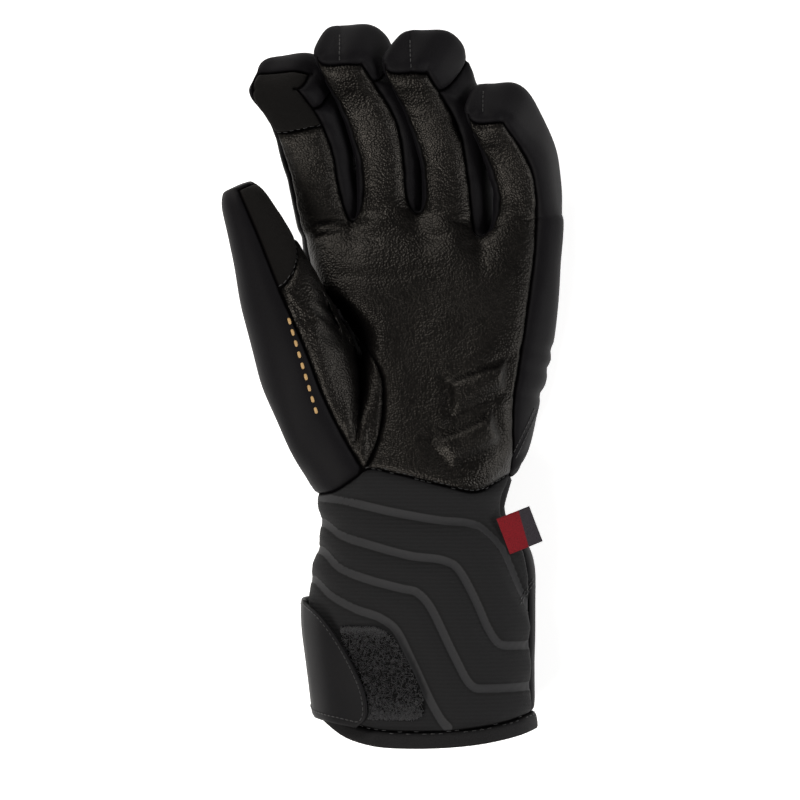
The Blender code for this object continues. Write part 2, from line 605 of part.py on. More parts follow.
def cuff_grid():
    """Grid of points [row, column] round the cuff: left side, front, right side, back."""
    n = FRONT_PER_FINGER * 4
    side = np.linspace(0, 1, SIDE_COLUMNS + 1)
    low_share = np.interp(np.linspace(0, 4, n + 1), range(5), (0.0, *WRIST_KNOTS, 1.0))
    across = FRONT_START + (1 - FRONT_START) * low_share
    left_across = across_of_left(side)[::-1]
    rows_front, rows_left = cuff_rows(across), cuff_rows(left_across)
    hem_front = smooth_line(*zip(*HEM_LINE), across)
    hem_left = smooth_line(*zip(*HEM_LINE), left_across)
    even = BACK_WRIST + (BACK_HEM - HEM_HEIGHT / CUFF_LENGTH - BACK_WRIST) * np.arange(11) / 10
    rows_left = left_down(side, rows_left, even[:, None])
    hem_left = left_down(side, hem_left, BACK_HEM)
    toward_back = ease(side)
    rows_right = rows_front[:, -1:] * (1 - toward_back) + even[:, None] * toward_back
    hem_right = hem_front[-1] * (1 - toward_back) + BACK_HEM * toward_back
    grid = []
    for row in range(13):
        if row < 11:
            downs = rows_left[row], rows_front[row], rows_right[row], even[row] + 0 * across
        else:
            step = (row - 10) / 2
            mix = lambda top, low: top * (1 - step) + low * step
            downs = (mix(rows_left[10], hem_left), mix(rows_front[10], hem_front),
                     mix(rows_right[10], hem_right), mix(even[10], BACK_HEM) + 0 * across)  # fmt: skip
        ys = [CUFF_LENGTH * (1 - down) for down in downs]
        front = cuff_front_point(across, ys[1])
        back = ring_point(-ring_angle(cuff_back_x(ys[3], np.linspace(4, 0, n + 1)), ys[3]), ys[3])
        parts = []
        for which, shares, y in (("left", side, ys[0]), ("right", side, ys[2])):
            if which == "left":
                first = ring_angle(front[0, 0], front[0, 1])
                last = 2 * np.pi - ring_angle(back[-1, 0], back[-1, 1])
                angle = last + (first - last) * shares
            else:
                first = ring_angle(front[-1, 0], front[-1, 1])
                last = -ring_angle(back[0, 0], back[0, 1])
                angle = first + (last - first) * shares
            parts.append(ring_point(angle, y))
        left, right = parts
        ring = [left, front, right, back]
        if row < 11:
            push_in(left, band_recess(row, left_across) * ease(3 * side), left[:, 1])
            push_in(front, band_recess(row, across), front[:, 1])
            gather = GATHER_DEPTH * np.exp(-(((row - 1.6) / 1.5) ** 2)) * (1 if 0 < row < 10 else 0)
            wave = 0.5 - 0.5 * np.cos(2 * np.pi * np.arange(len(right)) / 2)
            push_in(right, gather * wave * (side > 0) * (side < 1), right[:, 1])
            wave = 0.5 - 0.5 * np.cos(2 * np.pi * np.arange(n + 1) / 2)
            inner = (np.arange(n + 1) > 0) * (np.arange(n + 1) < n)
            push_in(back, gather * wave * inner, back[:, 1])
        grid.append(ring)
    return grid


def push_in(points, depth, y):
    """Moves points of a ring toward its middle; what rests on the table stays on it."""
    left, right, back, front = section(y)
    centre = np.stack([(left + right) / 2, y, (front + back) / 2], -1)
    toward = centre - points
    toward /= np.linalg.norm(toward, axis=-1, keepdims=True)
    moved = points + toward * np.asarray(depth)[..., None]
    resting = points[..., 2] <= 1e-9
    moved[..., 2] = np.where(resting, 0.0, moved[..., 2])
    points[...] = moved


PANELS = (
    "palm_leather", "hand_back", "fourchette_index_middle", "fourchette_middle_ring",
    "fourchette_ring_little", "index_tip_patch", "thumb_leather", "thumb_back",
    "thumb_tip_patch", "cuff_front", "cuff_back", "cuff_hem",
)  # fmt: skip
WALLS = {
    "palm_leather": LEATHER_WALL,
    "hand_back": SHELL_WALL,
    "fourchette_index_middle": SHELL_WALL * 0.75,
    "fourchette_middle_ring": SHELL_WALL * 0.75,
    "fourchette_ring_little": SHELL_WALL * 0.75,
    "index_tip_patch": SUEDE_WALL,
    "thumb_leather": LEATHER_WALL * 0.75,
    "thumb_back": SHELL_WALL,
    "thumb_tip_patch": SUEDE_WALL,
    "cuff_front": KNIT_WALL,
    "cuff_back": SHELL_WALL,
    "cuff_hem": HEM_WALL,
}


class Surface:
    """Quads of the whole glove with the panel that each belongs to."""

    def __init__(self):
        self.points, self.faces, self.panels = [], [], []

    def patch(self, grid, panel, flip=False):
        """Adds a grid of points; panel is a name or a function of (row, column)."""
        rows, columns = grid.shape[:2]
        start = len(self.points)
        self.points += [tuple(p) for p in grid.reshape(-1, 3)]
        for r in range(rows - 1):
            for c in range(columns - 1):
                quad = [start + r * columns + c, start + r * columns + c + 1]
                quad += [quad[1] + columns, quad[0] + columns]
                self.faces.append(quad[::-1] if flip else quad)
                name = panel(r, c) if callable(panel) else panel
                self.panels.append(PANELS.index(name))


def fill_cap(front, right, back, left):
    """Coons patch over the open end of a tube, from its four edge lines."""
    across, down = len(front), len(right)
    u, v = np.linspace(0, 1, across)[None, :, None], np.linspace(0, 1, down)[:, None, None]
    bottom = back[::-1]
    west = left[::-1]
    ruled_v = front[None] * (1 - v) + bottom[None] * v
    ruled_u = west[:, None] * (1 - u) + right[:, None] * u
    corners = (front[0] * (1 - u) * (1 - v) + front[-1] * u * (1 - v)
               + bottom[0] * (1 - u) * v + bottom[-1] * u * v)  # fmt: skip
    return ruled_v + ruled_u - corners


FINGER_ROWS = (0.0, 0.06, 0.13, 0.21, 0.31, 0.43, 0.56, 0.70, 0.85, 1.0)
RIM_ROWS = (40.0, 66.0)
THUMB_ROWS = (0.0, 0.05, 0.11, 0.18, 0.26, 0.36, 0.47, 0.58, 0.69, 0.79, 0.89, 1.0)
THUMB_RIM_ROWS = (34.0, 60.0)


def build_surface():
    surface = Surface()
    n, ns = FRONT_PER_FINGER, SIDE_COLUMNS
    side = np.linspace(0, 1, ns + 1)
    rows = np.linspace(0, 1, PALM_ROWS + 1)
    surface.patch(palm_front(np.linspace(0, 4, 4 * n + 1)[None], rows[:, None]), "palm_leather")
    surface.patch(palm_side(side[None], rows[:, None], True), "hand_back")
    surface.patch(palm_back(np.linspace(4, 0, 4 * n + 1)[None], rows[:, None]), "hand_back")
    free = rows[THUMB_ROWS_AT_PALM:]
    surface.patch(palm_side(1 - side[None], free[:, None], False), "hand_back")

    strips = ("fourchette_index_middle", "fourchette_middle_ring", "fourchette_ring_little")
    at = np.array([*FINGER_ROWS, 1.0, 1.0])[:, None]
    rim = np.radians([*([0.0] * len(FINGER_ROWS)), *RIM_ROWS])[:, None]
    body = len(FINGER_ROWS) - 1
    for index in range(4):
        edges = {}
        for which in SIDE_ANGLES:
            count = ns if which in ("right", "left") else n
            grid = finger_side(index, which, np.linspace(0, 1, count + 1)[None], at, rim)
            edges[which] = grid[-1]
            if which == "front":
                if index == 0:
                    pick = lambda r, c: "palm_leather" if r < body - 1 else "index_tip_patch"
                else:
                    pick = lambda r, c: "palm_leather" if r < body + 1 else "hand_back"
            elif which == "right":
                pick = lambda r, c: (
                    "hand_back" if index == 3 or r >= body - 1 else strips[index]
                )
            elif which == "left":
                pick = lambda r, c: (
                    "hand_back" if index == 0 or r >= body - 1 else strips[index - 1]
                )
            else:
                pick = "hand_back"
            surface.patch(grid, pick)
        cap = fill_cap(edges["front"], edges["right"], edges["back"], edges["left"])
        centre = cap.mean((0, 1))
        along = finger_frame(list(FINGERS)[index], np.array(1.0))[1]
        u, v = np.linspace(-1, 1, n + 1)[None], np.linspace(-1, 1, ns + 1)[:, None]
        cap = cap + along * (0.05 * FINGER_DEPTH * (1 - u**2) * (1 - v**2))[..., None]
        last_row = 2 if index == 0 else 0
        surface.patch(cap, lambda r, c: "index_tip_patch" if r < last_row else "hand_back")

    thumb_at = np.array([*THUMB_ROWS, 1.0, 1.0])[:, None]
    thumb_rim = np.radians([*([0.0] * len(THUMB_ROWS)), *THUMB_RIM_ROWS])[:, None]
    edges = {}
    counts = {"leather": THUMB_ROWS_AT_PALM, "inner": ns, "back": THUMB_ROWS_AT_PALM, "outer": ns}
    for which, count in counts.items():
        share = np.linspace(0, 1, count + 1)
        grid = thumb_point(which, share[None], thumb_at, thumb_rim)
        edges[which] = grid[-1]
        if which == "leather":
            pick = lambda r, c: "thumb_leather" if r < 8 else "thumb_tip_patch"
        elif which == "inner":
            pick = lambda r, c: "thumb_leather" if r < 8 else "thumb_back"
        else:
            pick = "thumb_back"
        surface.patch(grid, pick)
    cap = fill_cap(edges["leather"], edges["inner"], edges["back"], edges["outer"])
    surface.patch(cap, "thumb_back")

    grid = cuff_grid()
    names = ("cuff_front", "cuff_front", "cuff_back", "cuff_back")
    for part, name in enumerate(names):
        points = np.array([ring[part] for ring in grid])
        surface.patch(points, lambda r, c: name if r < 10 else "cuff_hem", flip=True)
    return surface


def master_mesh(surface):
    """Welds the patches into one mesh whose faces carry their panel, and returns it."""
    mesh = bmesh.new()
    points = [mesh.verts.new(p) for p in surface.points]
    for face, panel in zip(surface.faces, surface.panels):
        try:
            made = mesh.faces.new([points[i] for i in face])
        except ValueError:
            continue
        made.material_index = panel
    bmesh.ops.remove_doubles(mesh, verts=mesh.verts[:], dist=2e-5)
    mesh.normal_update()
    mesh.verts.ensure_lookup_table()
    mesh.faces.ensure_lookup_table()
    return mesh


def panel_solid(mesh, panel, wall):
    """One panel's closed wall: its outer faces, the same faces set in, and its cut edges."""
    faces = [f for f in mesh.faces if f.material_index == panel]
    verts = sorted({v.index for f in faces for v in f.verts})
    inward = {v: [] for v in verts}
    for face in faces:
        for loop in face.loops:
            others = [f for f in loop.edge.link_faces if f.material_index == panel]
            if len(others) == 1:
                a, b = loop.vert, loop.link_loop_next.vert
                along = (b.co - a.co).normalized()
                normal = (a.normal + b.normal).normalized()
                step = normal.cross(along).normalized()
                inward[a.index].append(step)
                inward[b.index].append(step)
    out, inner = {}, {}
    for index in verts:
        vert = mesh.verts[index]
        move = vert.co.copy()
        if len(inward[index]) >= 2:
            first, second = inward[index][0], inward[index][1]
            total = first + second
            move += total.normalized() * (SEAM_GAP / 2 / max(total.length / 2, 0.3))
        if vert.co.z < 1e-7:
            move.z = 0.0
        out[index] = move
        inner[index] = move - vert.normal * wall
    for face in faces:
        for loop in face.loops:
            if len([f for f in loop.edge.link_faces if f.material_index == panel]) != 1:
                continue
            a, b = loop.vert, loop.link_loop_next.vert
            step = (a.normal + b.normal).cross(b.co - a.co).normalized()
            middle = (out[a.index] + out[b.index]) / 2
            near = {a, b}
            for _ in range(2):
                near |= {v for corner in near for f in corner.link_faces for v in f.verts
                         if f.material_index == panel}  # fmt: skip
            for vert in near:
                if not inward[vert.index]:
                    depth = (inner[vert.index] - middle).dot(step)
                    if depth < SEAM_GAP and (vert.co - middle).length < 3 * wall:
                        inner[vert.index] += step * (SEAM_GAP - depth)
    solid = bmesh.new()
    top = {i: solid.verts.new(out[i]) for i in verts}
    low = {i: solid.verts.new(inner[i]) for i in verts}
    for face in faces:
        ring = [v.index for v in face.verts]
        solid.faces.new([top[i] for i in ring])
        solid.faces.new([low[i] for i in reversed(ring)])
        for loop in face.loops:
            others = [f for f in loop.edge.link_faces if f.material_index == panel]
            if len(others) == 1:
                a, b = loop.vert.index, loop.link_loop_next.vert.index
                if a < b:
                    solid.faces.new([top[b], top[a], low[b]])
                    solid.faces.new([top[a], low[a], low[b]])
                else:
                    solid.faces.new([top[b], top[a], low[a]])
                    solid.faces.new([top[b], low[a], low[b]])
    bmesh.ops.recalc_face_normals(solid, faces=solid.faces[:])
    data = bpy.data.meshes.new(PANELS[panel])
    solid.to_mesh(data)
    solid.free()
    return data


def material(name):
    colour, rough = COLOURS[name]
    found = bpy.data.materials.get(name) or bpy.data.materials.new(name)
    found.use_nodes = True
    shader = found.node_tree.nodes["Principled BSDF"]
    shader.inputs["Base Color"].default_value = colour
    shader.inputs["Roughness"].default_value = rough
    shader.inputs["Metallic"].default_value = 0.0
    return found


LOOKS = {
    "palm_leather": "leather",
    "thumb_leather": "leather",
    "heel_pad_upper": "leather",
    "heel_pad_lower": "leather",
    "index_tip_patch": "suede",
    "thumb_tip_patch": "suede",
    "cuff_front": "knit",
    "cuff_hem": "hem",
    "closure_strap": "strap",
    "loop_pad": "loop",
    "side_label": "label",
}


def place(data, name, collection, root):
    piece = bpy.data.objects.new(name, data)
    data.materials.clear()
    data.materials.append(material(LOOKS.get(name, "softshell")))
    data.shade_smooth()
    data.set_sharp_from_angle(angle=np.radians(38))
    collection.objects.link(piece)
    piece.parent = root
    return piece


def plate(grid, name, wall, collection, root, bevel=0.0):
    """A thin piece lying on a surface: an open grid with Solidify, thickened outward."""
    rows, columns = grid.shape[:2]
    data = bpy.data.meshes.new(name)
    faces = [
        (r * columns + c, r * columns + c + 1, (r + 1) * columns + c + 1, (r + 1) * columns + c)
        for r in range(rows - 1)
        for c in range(columns - 1)
    ]
    data.from_pydata([tuple(p) for p in grid.reshape(-1, 3)], [], faces)
    piece = place(data, name, collection, root)
    thick = piece.modifiers.new("wall", "SOLIDIFY")
    thick.thickness = wall
    thick.offset = 1.0
    thick.use_even_offset = False
    if bevel:
        edge = piece.modifiers.new("edge", "BEVEL")
        edge.width = bevel
        edge.segments = 1
        edge.limit_method = "ANGLE"
        edge.angle_limit = np.radians(60)
        edge.use_clamp_overlap = True
    return piece


def lifted(function, u, v, lift):
    """Grid of function(u, v) moved off along its outward normal by lift."""
    step = 1e-4
    here = function(u, v)
    across = function(u + step, v) - function(u - step, v)
    down = function(u, v + step) - function(u, v - step)
    normal = np.cross(down, across)
    normal /= np.linalg.norm(normal, axis=-1, keepdims=True)
    return here + normal * np.asarray(lift)[..., None]


def cuff_wrap(across, down):
    """Cuff surface without its bands; negative shares across run round the left to the back."""
    y = CUFF_LENGTH * (1 - down)
    left, right, _, _ = section(y)
    seam = cuff_seam_x(y)
    x = left + (seam - left) * np.clip(across, 0.0, 1.0)
    front = ring_angle(x, y)
    edge = ring_angle(left + (seam - left) * 0.02, y)
    beyond = edge + (0.02 - across) * 2.6
    angle = np.where(across >= 0.02, front, beyond)
    return ring_point(angle, y)


def heel_pad(corners, collection, root, name):
    """Rounded raised pad: a bilinear patch of the palm between its four corners."""
    corners = np.array(corners)
    u, v = np.linspace(0, 1, 8)[None], np.linspace(0, 1, 5)[:, None]
    u, v = np.broadcast_arrays(u, v)
    centre_u, centre_v = 2 * u - 1, 2 * v - 1
    u = 0.5 + 0.5 * centre_u * np.sqrt(1 - 0.16 * centre_v**2)
    v = 0.5 + 0.5 * centre_v * np.sqrt(1 - 0.22 * centre_u**4)
    flat = (corners[0] * ((1 - u) * (1 - v))[..., None] + corners[1] * (u * (1 - v))[..., None]
            + corners[2] * (u * v)[..., None] + corners[3] * ((1 - u) * v)[..., None])  # fmt: skip
    x, y = flat[..., 0] * PITCH, palm_y(flat[..., 1])

    def on_palm(px, py):
        point = ring_point(ring_angle(px, py), py)
        point[..., 2] += palm_relief(px, py)
        return point

    grid = on_palm(x, y)
    grid[..., 2] += LAY_GAP
    grid = grid[::-1]
    return plate(grid, name, HEEL_PAD_HEIGHT, collection, root, bevel=0.0007)


def closure_strap(collection, root):
    """Strap round the left of the cuff; its free edge lies over the loop pad."""
    downs = np.array([row[0] for row in STRAP_EDGES])
    free = np.array([row[1] for row in STRAP_EDGES])
    share = np.linspace(0, 1, 13)[None]
    start = -STRAP_SPAN
    rows = np.linspace(0, 1, 9)
    down = smooth_line(np.linspace(0, 1, len(downs)), downs, rows)[:, None]
    edge = smooth_line(np.linspace(0, 1, len(free)), free, rows)[:, None]
    across = start + (edge - start) * share
    top, low = downs[0] - 0.005, 0.885
    tilt = share**2
    plain = top + (low - top) * rows[:, None]
    down = plain * (1 - tilt) + down * tilt
    over_pad = 2 * LAY_GAP + LOOP_WALL
    stand = STRAP_STANDOFF * np.exp(-(((across + 0.05) / 0.16) ** 2))
    lift = LAY_GAP + (over_pad - LAY_GAP) * ease((across + 0.04) / 0.14) + stand
    grid = lifted(cuff_wrap, across, down, lift)
    return plate(grid[::-1], "closure_strap", STRAP_WALL, collection, root)


def loop_pad(collection, root):
    rows = np.linspace(0, 1, 8)
    stations = np.linspace(0, 1, len(LOOP_EDGES))
    down, first, last = (
        smooth_line(stations, [row[i] for row in LOOP_EDGES], rows)[:, None] for i in range(3)
    )
    share = np.linspace(0, 1, 7)[None]
    across = first + (last - first) * share
    grid = lifted(cuff_wrap, across, down + 0 * across, LAY_GAP + 0 * across)
    return plate(grid[::-1], "loop_pad", LOOP_WALL, collection, root)


def height_under(collection, x, y):
    """Height of the cuff's highest face at (x, y), or the table's where there is none."""
    height = 0.0
    for name in ("cuff_front", "cuff_back"):
        found, where, _, _ = collection.objects[name].ray_cast((x, y, 1.0), (0.0, 0.0, -1.0))
        if found:
            height = max(height, where.z)
    return height


def side_label(collection, root):
    """Folded tag sewn into the right seam of the cuff near the wrist, standing off the surface."""
    anchor = cuff_wrap(np.array(0.93), np.array(LABEL_AT))
    turn, tilt = np.radians(LABEL_TURN), np.radians(LABEL_TILT)
    bpy.ops.mesh.primitive_cube_add(size=1.0)
    piece = bpy.context.active_object
    data = piece.data
    for vert in data.vertices:
        vert.co.x = (vert.co.x + 0.5) * LABEL_WIDTH
        vert.co.y = vert.co.y * LABEL_LENGTH
        vert.co.z = (vert.co.z + 0.5) * LABEL_WALL
    u, v = np.meshgrid(np.linspace(0, LABEL_WIDTH, 9), np.linspace(-0.5, 0.5, 9) * LABEL_LENGTH)
    x = anchor[0] + u * np.cos(tilt) * np.cos(turn) - v * np.sin(turn)
    y = anchor[1] + u * np.cos(tilt) * np.sin(turn) + v * np.cos(turn)
    bpy.context.view_layer.update()
    heights = [
        height_under(collection, px, py) + pu * np.sin(tilt)
        for px, py, pu in zip(x.flat, y.flat, u.flat)
    ]
    piece.name = data.name = "side_label"
    data.materials.clear()
    data.materials.append(material("label"))
    for other in piece.users_collection:
        other.objects.unlink(piece)
    collection.objects.link(piece)
    piece.parent = root
    piece.location = (anchor[0], anchor[1], max(heights) + SEAM_GAP)
    piece.rotation_euler = (0.0, tilt, turn)
    bevel = piece.modifiers.new("edge", "BEVEL")
    bevel.width = LABEL_WALL / 4
    bevel.segments = 1
    return piece


def main():
    for item in list(bpy.data.objects):
        bpy.data.objects.remove(item, do_unlink=True)
    collection = bpy.data.collections.new("heated_glove")
    bpy.context.scene.collection.children.link(collection)
    root = bpy.data.objects.new("glove_root", None)
    collection.objects.link(root)

    mesh = master_mesh(build_surface())
    for panel, name in enumerate(PANELS):
        place(panel_solid(mesh, panel, WALLS[name]), name, collection, root)
    mesh.free()
    for name, corners in HEEL_PADS.items():
        heel_pad(corners, collection, root, name)
    closure_strap(collection, root)
    loop_pad(collection, root)
    side_label(collection, root)

    bpy.context.view_layer.update()
    graph = bpy.context.evaluated_depsgraph_get()
    corners = []
    for piece in collection.objects:
        if piece.type == "MESH":
            shape = piece.evaluated_get(graph)
            corners += [piece.matrix_world @ v.co for v in shape.data.vertices]
    corners = np.array([tuple(c) for c in corners])
    low, high = corners.min(0), corners.max(0)
    root.location = (-(low[0] + high[0]) / 2, -(low[1] + high[1]) / 2, -low[2])
    bpy.context.view_layer.update()


main()
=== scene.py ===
"""Look of a left-hand heated glove that lies on its back with the palm up.

The whole glove is one soft surface worked out with numpy: rings along the cuff and the palm, and
tubes for the fingers and the thumb that grow out of them. The surface is refined, gets its seams,
bands, creases and pads as moves along its normals, and is then cut into its sewn panels. Sizes are
in metres, X toward the little finger, Y toward the fingertips and Z up out of the palm.
"""

import json
import logging
from collections.abc import Sequence
from dataclasses import dataclass, field
from enum import Enum
from typing import Any

import bmesh
import bpy
import numpy as np
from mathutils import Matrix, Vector
from mathutils.bvhtree import BVHTree

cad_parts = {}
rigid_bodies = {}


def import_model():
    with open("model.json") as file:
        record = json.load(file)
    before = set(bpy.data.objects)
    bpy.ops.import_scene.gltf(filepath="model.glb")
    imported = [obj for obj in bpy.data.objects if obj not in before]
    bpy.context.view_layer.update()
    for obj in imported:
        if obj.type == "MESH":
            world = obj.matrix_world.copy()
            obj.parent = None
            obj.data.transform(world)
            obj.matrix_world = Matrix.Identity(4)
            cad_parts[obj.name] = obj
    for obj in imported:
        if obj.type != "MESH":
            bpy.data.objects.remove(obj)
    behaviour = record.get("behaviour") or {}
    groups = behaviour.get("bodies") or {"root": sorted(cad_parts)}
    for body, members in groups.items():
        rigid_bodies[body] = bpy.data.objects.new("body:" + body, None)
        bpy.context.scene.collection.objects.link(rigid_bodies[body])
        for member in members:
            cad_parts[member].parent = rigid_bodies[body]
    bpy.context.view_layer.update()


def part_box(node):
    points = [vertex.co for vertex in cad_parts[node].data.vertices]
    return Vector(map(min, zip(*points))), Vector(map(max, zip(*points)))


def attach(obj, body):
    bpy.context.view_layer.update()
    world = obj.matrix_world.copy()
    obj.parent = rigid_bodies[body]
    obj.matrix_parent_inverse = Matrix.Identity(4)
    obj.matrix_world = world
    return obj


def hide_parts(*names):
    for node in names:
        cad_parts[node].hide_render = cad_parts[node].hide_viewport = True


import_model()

Array = np.ndarray
LOG = logging.getLogger("heated_glove")
FAR = 0.008  # distances to seams and bands are kept up to here
LAY_GAP = 0.0006  # between the cuff and what lies on it
KNOTS = range(5)  # sewing columns of the palm, from the thumb side
HALVES = (0.0, 0.5, 1.0)  # stations of a finger's widths and leans
QUARTERS = (0.0, 0.25, 0.5, 0.75, 1.0)  # stations of a finger's place across
DOWN = Vector((0.0, 0.0, -1.0))


def ease(t: Array) -> Array:
    """Smooth step: 3t^2 - 2t^3 between 0 and 1."""
    t = np.clip(t, 0.0, 1.0)
    return t * t * (3 - 2 * t)


def bell(distance: Array, width: float) -> Array:
    """Bell curve: e to the minus (distance over width) squared."""
    return np.exp(-((distance / width) ** 2))


def power(value: Array, exponent: Array) -> Array:
    """Signed power, for superellipses."""
    return np.sign(value) * np.abs(value) ** exponent


def smooth_line(xs: Sequence[float], ys: Sequence[float], at: Array) -> Array:
    """Monotone cubic through points: Hermite pieces whose slopes never overshoot a point.

    Args:
        xs: rising places of the points.
        ys: values there.
        at: places to read.
    Returns:
        The line's values, held flat beyond both ends.
    """
    xs, ys = np.asarray(xs, float), np.asarray(ys, float)
    at = np.clip(np.asarray(at, float), xs[0], xs[-1])
    steps = np.diff(xs)
    slopes = np.diff(ys) / steps
    inner = np.where(slopes[:-1] * slopes[1:] > 0, 0.5 * (slopes[:-1] + slopes[1:]), 0.0)
    limit = 3.0 * np.minimum(np.abs(slopes[:-1]), np.abs(slopes[1:]))
    ends = np.concatenate([[slopes[0]], np.clip(inner, -limit, limit), [slopes[-1]]])
    i = np.clip(np.searchsorted(xs, at, side="right") - 1, 0, len(xs) - 2)
    u = (at - xs[i]) / steps[i]
    h00, h10 = (1 + 2 * u) * (1 - u) ** 2, u * (1 - u) ** 2
    h01, h11 = u * u * (3 - 2 * u), u * u * (u - 1)
    return h00 * ys[i] + h10 * steps[i] * ends[i] + h01 * ys[i + 1] + h11 * steps[i] * ends[i + 1]


def column(rows: Sequence[Sequence[float]], index: int, at: Array) -> Array:
    """Smooth reading of one column of a table whose first column is the station."""
    return smooth_line([row[0] for row in rows], [row[index] for row in rows], at)


def unit(vectors: Array) -> Array:
    """The vectors at length one."""
    return vectors / np.maximum(np.linalg.norm(vectors, axis=-1, keepdims=True), 1e-12)


def squared_off(vectors: Array, normals: Array) -> Array:
    """The vectors less their part along the normals, at length one."""
    return unit(vectors - (vectors * normals).sum(1, keepdims=True) * normals)


def grid_quads(rows: int, columns: int, wrap: bool = False) -> Array:
    """Quads of a grid of points, row by row.

    Args:
        rows: rows of points.
        columns: points in a row.
        wrap: joins each row's end to its start.
    Returns:
        Four point indices a quad.
    """
    r, c = np.mgrid[: rows - 1, : columns if wrap else columns - 1]
    onward = (c + 1) % columns
    low, high = r * columns, (r + 1) * columns
    return np.stack([low + c, low + onward, high + onward, high + c], -1).reshape(-1, 4)


class Panel(Enum):
    """Sewn panels, by the name of the solid that each stands for."""

    PALM = "palm_leather"
    BACK = "hand_back"
    STRIP_INDEX = "fourchette_index_middle"
    STRIP_MIDDLE = "fourchette_middle_ring"
    STRIP_RING = "fourchette_ring_little"
    INDEX_PATCH = "index_tip_patch"
    THUMB_PALM = "thumb_leather"
    THUMB_BACK = "thumb_back"
    THUMB_PATCH = "thumb_tip_patch"
    CUFF_FRONT = "cuff_front"
    CUFF_BACK = "cuff_back"
    HEM = "cuff_hem"

    @property
    def number(self) -> int:
        """Place of the panel in the list."""
        return list(Panel).index(self)


class Noise:
    """Smooth seeded noise: gradients at the corners of a cubic lattice, blended by ease curves."""

    def __init__(self, seed: int) -> None:
        """Draws the lattice's gradients from the seed."""
        draw = np.random.default_rng(seed)
        self.order = draw.permutation(256)
        self.slopes = unit(draw.normal(size=(256, 3)))

    def at(self, points: Array, scale: Sequence[float] | float) -> Array:
        """Noise from about -1 to 1.

        Args:
            points: places, in metres.
            scale: size of one wave along each axis, in metres.
        Returns:
            One value a point.
        """
        p = points / np.asarray(scale, float)
        cell = np.floor(p).astype(int)
        f = p - cell
        w = f * f * f * (f * (f * 6 - 15) + 10)
        total = np.zeros(p.shape[:-1])
        for corner in np.ndindex(2, 2, 2):
            key = self.order[(cell[..., 0] + corner[0]) % 256]
            key = self.order[(key + cell[..., 1] + corner[1]) % 256]
            key = self.order[(key + cell[..., 2] + corner[2]) % 256]
            slope = (self.slopes[key] * (f - corner)).sum(-1)
            share = np.prod(np.where(corner, w, 1 - w), axis=-1)
            total += slope * share
        return total * 1.5


